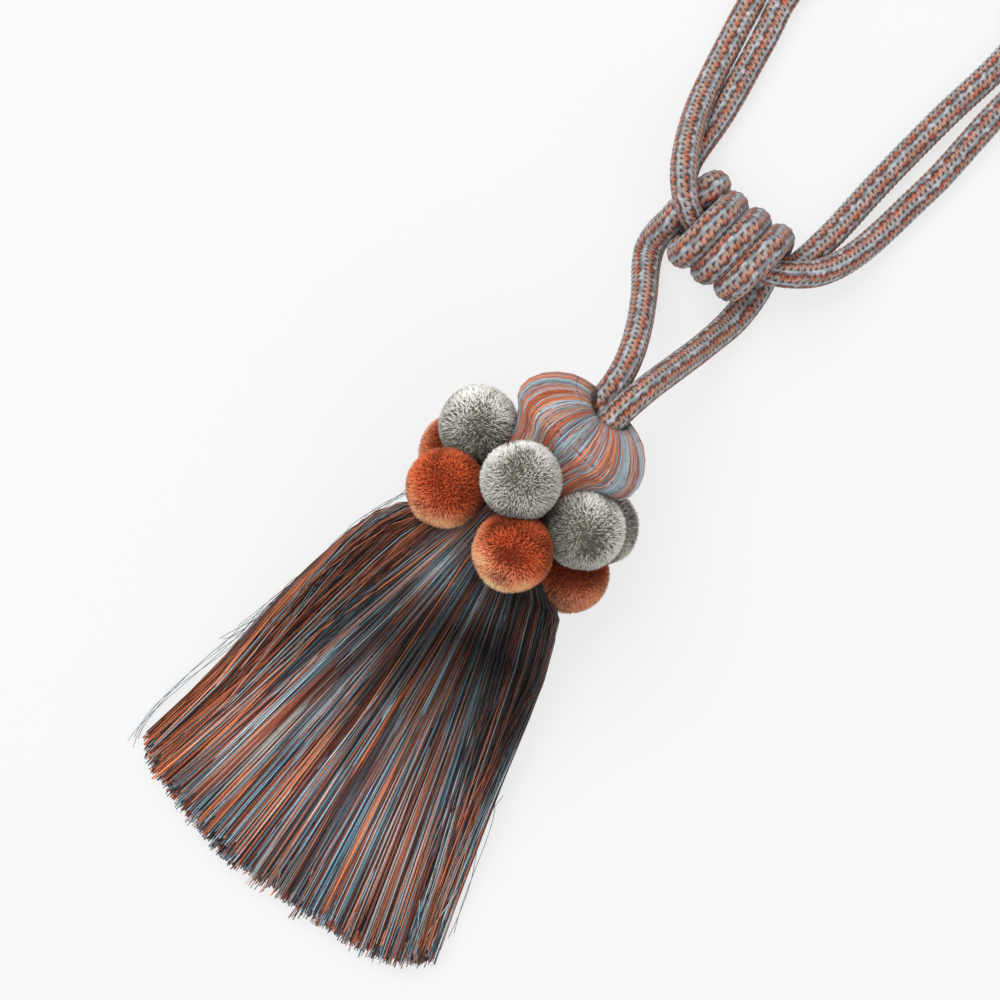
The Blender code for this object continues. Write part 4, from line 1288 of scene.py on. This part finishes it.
@dataclass
class Pompon:
    """One ball of clipped pile."""

    name: str  # the CAD node that it stands for
    x: float  # its middle, across
    y: float  # its middle, along
    z: float  # its middle, up
    dye: PomponDye  # its colour
    shade_tone: float = 1.0  # how much painted shade dims its pile beside the others', 1 for none
    radius: float = 0.0142  # how far its pile reaches
    fibres: int = 7500  # how many tufts of pile it has
    tuft: float = 0.00036  # the radius of a tuft at its root
    heart: float = 0.84  # where the pile is rooted, as a share of its radius
    heart_rows: int = 13  # how many rows of faces its solid heart has
    heart_sides: int = 24  # how many faces go round the heart
    lump: float = 0.016  # how unevenly it is clipped, as a share of its radius
    ragged: float = 0.012  # the same from tuft to tuft
    lump_scale: float = 3.2  # how quickly the lumps change round the ball
    clump_scale: float = 40.0  # how quickly its clumps of tufts do

    @property
    def centre(self) -> Array:
        """Its middle, in the CAD's frame."""
        return np.array((self.x, self.y, self.z)) - TABLE_CENTRE

    def build(self, flats: Sequence[tuple[Array, float]], seed: int) -> None:
        """Grows the pile from the heart.

        Args:
            flats: Where it is pressed, each as an outward direction and a distance.
            seed: Where its irregularities start.
        """
        chance = np.random.default_rng(seed)
        out = self._directions(chance)
        count = len(out)
        lumps = self._waves(out, chance, self.lump_scale)[0]
        reach = self.radius * (1 + self.lump * lumps + chance.normal(0, self.ragged, count))
        for direction, distance in flats:
            lean = out @ direction
            pressed = np.minimum(reach, distance / np.maximum(lean, LEAST_LEAN))
            reach = np.where(lean > LEAST_LEAN, pressed, reach)
        tufts, slope = self._waves(out, chance, self.clump_scale)
        shaded_tip_dye, lit_tip_dye, clump, finish, slot = self.dye.value
        tip = unit(out + chance.normal(0, 0.030, out.shape) + 0.0008 * clump * slope)
        root = out * np.minimum(self.heart * self.radius, reach - 0.0010)[:, None]
        side = unit(np.cross(out, chance.normal(0, 1, out.shape)))
        foot = root[:, None] + spokes(ring_angles(3), side, np.cross(out, side)) * self.tuft
        points = np.concatenate([foot, (tip * reach[:, None])[:, None]], axis=1)

        uneven = 1 + 0.36 * lumps + 0.42 * clump * tufts + chance.normal(0, 0.24, count)
        # Painted light and shade: the tips are lighter facing down and away from the neighbours,
        # and darker on top and where the neighbours press them.
        lit_outward, unshaded = self._painted_light_and_shade(out, flats)
        tips = shaded_tip_dye + (np.array(lit_tip_dye) - shaded_tip_dye) * lit_outward[:, None]
        tips = tips * (self.shade_tone * np.clip(uneven * unshaded, 0.20, 1.6))[:, None]
        dyes = np.repeat(np.minimum(tips, 1.0), 4, axis=0)

        heart, heart_faces = self._heart(flats)
        places = np.concatenate([points.reshape(-1, 3), heart]) + self.centre
        places[:, 2] = np.maximum(places[:, 2], 0.0002)
        # Painted shade: the heart, seen between the tufts, is darker than the tips.
        colours = np.concatenate([dyes, np.full(heart.shape, shaded_tip_dye) * 0.7])
        faces = self._by_face(np.arange(count * 4).reshape(count, 4)).tolist()
        faces += [[corner + count * 4 for corner in face] for face in heart_faces]
        cells = math.ceil(math.sqrt(count + 1))
        own = (on_map(np.arange(count), cells)[:, None] + TUFT_CHART) / cells
        last_cell = np.full((sum(map(len, heart_faces)), 2), (cells - 0.5) / cells)
        uvs = np.concatenate([self._by_face(own).reshape(-1, 2), last_cell])
        thing = Piece(f"{self.name}_pile", finish, slot).place(places, faces, colours, uvs)
        # Painted light: the roots on that lighter side count as further out, so the pile's painted
        # shade darkens them less.
        lit_root = 0.95 * lit_outward
        root_to_tip_shade = np.stack([lit_root, lit_root, lit_root, np.ones(count)], axis=1).ravel()
        layer = thing.data.attributes.new(PILE_SHADE_LAYER, "FLOAT", "POINT")
        layer.data.foreach_set("value", np.pad(root_to_tip_shade, (0, len(heart))).astype(np.float32))
        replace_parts(thing, self.name)

    @staticmethod
    def _by_face(corners: Array) -> Array:
        """What the four points of each tuft have, face by face."""
        return np.concatenate([corners[:, face] for face in TUFT_FACES])

    def _painted_light_and_shade(self, out: Array, flats: Sequence[tuple[Array, float]]) -> tuple[Array, Array]:
        """The painted light and shade on the pile in each direction: lighter facing down and away
        from the neighbours, darker on top and where they press it.

        Args:
            out: The directions, as rows of three.
            flats: Where it is pressed.

        Returns:
            For each direction, how much painted light it gets, and the share of its dye left by the
            painted shade towards the neighbours.
        """
        away = -unit(sum(direction for direction, _ in flats[1:]) + 1.2 * UP)
        unshaded = np.ones(len(out))
        for direction, _ in flats:
            unshaded = unshaded * (1 - 0.50 * smooth_step(out @ direction, 0.25, 0.95))
        return smooth_step(out @ away, -0.50, 0.55), unshaded

    def _heart(self, flats: Sequence[tuple[Array, float]]) -> tuple[Array, list[list[int]]]:
        """The solid middle that the pile grows from.

        Args:
            flats: Where the pompon is pressed.

        Returns:
            The heart's points about the pompon's middle, and its faces.
        """
        polar = np.pi * np.arange(1, self.heart_rows)[:, None] / self.heart_rows
        turn = ring_angles(self.heart_sides)
        level, flat = np.cos(polar).repeat(self.heart_sides, axis=1), np.sin(polar)
        ring = np.stack([flat * np.cos(turn), flat * np.sin(turn), level], axis=-1)
        out = np.concatenate([ring.reshape(-1, 3), [UP, -UP]])
        reach = np.full(len(out), (self.heart + 0.035) * self.radius)
        for direction, distance in flats:
            reach = np.minimum(reach, (distance - 0.0008) / np.maximum(out @ direction, LEAST_LEAN))
        index = np.arange(len(out) - 2).reshape(level.shape)
        top, bottom = len(out) - 2, len(out) - 1
        first, last = index[0].tolist(), index[-1].tolist()
        caps = [[top, a, b] for a, b in zip(first, first[1:] + first[:1])]
        caps += [[bottom, b, a] for a, b in zip(last, last[1:] + last[:1])]
        return out * reach[:, None], ring_quads(index).tolist() + caps

    def _directions(self, chance: Generator) -> Array:
        """Directions spread evenly over the ball, a little out of line.

        Args:
            chance: Where the small moves come from.

        Returns:
            The directions, as rows of three.
        """
        number = np.arange(self.fibres) + 0.5
        up = 1 - 2 * number / self.fibres
        turn = np.pi * (1 + math.sqrt(5)) * number
        flat = np.sqrt(1 - up * up)
        even = np.stack([flat * np.cos(turn), flat * np.sin(turn), up], axis=-1)
        return unit(even + chance.normal(0, 0.012, even.shape))

    @staticmethod
    def _waves(out: Array, chance: Generator, fineness: float) -> tuple[Array, Array]:
        """A smooth uneven number for each direction, from about -1 to 1.

        Args:
            out: The directions, as rows of three.
            chance: Where the unevenness comes from.
            fineness: How quickly it changes with the direction.

        Returns:
            The number for each direction, and which way it grows.
        """
        waves = chance.normal(0, fineness, (9, 3))
        phase = out @ waves.T + chance.uniform(0, ANY_PHASE, len(waves))
        return np.sin(phase).sum(axis=1) / 3, np.cos(phase) @ waves / 3


@dataclass
class PomponRings:
    """The upper ring of five grey pompons and the lower one of five rust pompons."""

    touching: float = 2.06  # from how many radii apart two pompons press each other flat
    # The pompons, some with painted shade dimming their pile
    pompons: tuple[Pompon, ...] = (
        Pompon("pompon_grey_1", -0.0342, -0.0344, 0.0410, PomponDye.GREY, 0.84),
        Pompon("pompon_grey_2", -0.0109, -0.0419, 0.0660, PomponDye.GREY),
        Pompon("pompon_grey_3", 0.0167, -0.0427, 0.0520, PomponDye.GREY, 0.97),
        Pompon("pompon_grey_4", 0.0213, -0.0384, 0.0180, PomponDye.GREY, 0.56),
        Pompon("pompon_grey_5", -0.0120, -0.0385, 0.0132, PomponDye.GREY),
        Pompon("pompon_rust_1", -0.0308, -0.0589, 0.0490, PomponDye.RUST),
        Pompon("pompon_rust_2", -0.0350, -0.0460, 0.0170, PomponDye.RUST, 0.60),
        Pompon("pompon_rust_3", 0.0008, -0.0631, 0.0630, PomponDye.RUST),
        Pompon("pompon_rust_4", 0.0218, -0.0582, 0.0320, PomponDye.RUST, 0.54),
        Pompon("pompon_rust_5", 0.0040, -0.0575, 0.0132, PomponDye.RUST),
    )

    def flats(self, pompon: Pompon) -> list[tuple[Array, float]]:
        """Where a pompon is pressed by the table and its neighbours.

        Args:
            pompon: The one that is asked about.

        Returns:
            Each flat's outward direction and its distance from the middle.
        """
        found = [(-UP, pompon.z)]
        for other in self.pompons:
            away = other.centre - pompon.centre
            length = float(np.linalg.norm(away))
            if 0 < length < pompon.radius * self.touching:
                found.append((away / length, length / 2))
        return found

    def build(self) -> None:
        """Grows all ten pompons."""
        for seed, pompon in enumerate(self.pompons, start=60):
            pompon.build(self.flats(pompon), seed)


# ---- camera, floor and light ----


@dataclass
class Studio:
    """The table, the light and the camera, which looks straight down as in the photo."""

    height: float = 1.1  # how high the camera is over the table
    aim: tuple[float, float] = (-0.0186, -0.0674)  # the point of the table below it
    turn: float = math.atan2(0.581, 0.814)  # how far the camera is turned about the vertical
    lens: float = 110.0  # its focal length, in millimetres
    glow: float = 0.722  # how much light the table gives off itself
    room: float = 0.74  # how bright the room is
    table: float = 3.0  # half the width of the table top
    # Each light's name, place, size and power
    softboxes: tuple[tuple[str, tuple[float, float, float], float, float], ...] = (
        ("key_softbox", (-0.9, 0.3, 1.5), 1.3, 24.0),
        ("fill_softbox", (1.1, -0.5, 1.6), 1.4, 7.0),
    )

    def camera(self) -> None:
        """Sets up the camera."""
        data = bpy.data.cameras.new("photo_camera")
        data.lens = self.lens
        data.sensor_width = 36.0
        data.clip_start, data.clip_end = 0.01, 20.0
        thing = put("photo_camera", data)
        place = Matrix.Translation((*self.aim, self.height))
        thing.matrix_world = place @ Matrix.Rotation(self.turn, 4, "Z")
        bpy.context.scene.camera = thing

    def floor(self) -> None:
        """Lays the plain pale table top."""
        mesh = bpy.data.meshes.new("table_top")
        signs = ((-1, -1), (1, -1), (1, 1), (-1, 1))
        corners = [(self.table * x, self.table * y, 0.0) for x, y in signs]
        mesh.from_pydata(corners, [], [(0, 1, 2, 3)])
        material, shader = new_material("table_white")
        feed(
            shader,
            {
                "Base Color": (0.165, 0.165, 0.167, 1.0),
                "Roughness": 0.9,
                "Specular IOR Level": 0.1,
                "Emission Color": (*WHITE, 1.0),
                "Emission Strength": self.glow,
            },
        )
        mesh.materials.append(material)
        thing = put("table_top", mesh)
        thing.location.z = -0.0002

    def light(self) -> None:
        """Hangs two large soft lights over the table, in a pale room."""
        world = bpy.data.worlds.new("pale_room")
        world.use_nodes = True
        sky = {"Color": (*WHITE, 1.0), "Strength": self.room}
        feed(world.node_tree.nodes["Background"], sky)
        bpy.context.scene.world = world
        bpy.context.scene.view_settings.view_transform = "Standard"
        for name, place, size, power in self.softboxes:
            data = bpy.data.lights.new(name, "AREA")
            data.shape = "SQUARE"
            data.size = size
            data.energy = power
            thing = put(name, data)
            thing.location = place
            thing.rotation_euler = (-Vector(place)).to_track_quat("-Z", "Y").to_euler()

    def build(self) -> None:
        """Sets up the camera, the table and the lights."""
        self.camera()
        self.floor()
        self.light()


# ---- all of it ----


def main() -> None:
    """Builds the tieback piece by piece."""
    logging.basicConfig(level=logging.INFO, format="%(name)s: %(message)s")
    Studio().build()
    Cords().build()
    Head().build()
    PomponRings().build()
    Skirt().build()


if __name__ == "__main__":
    main()
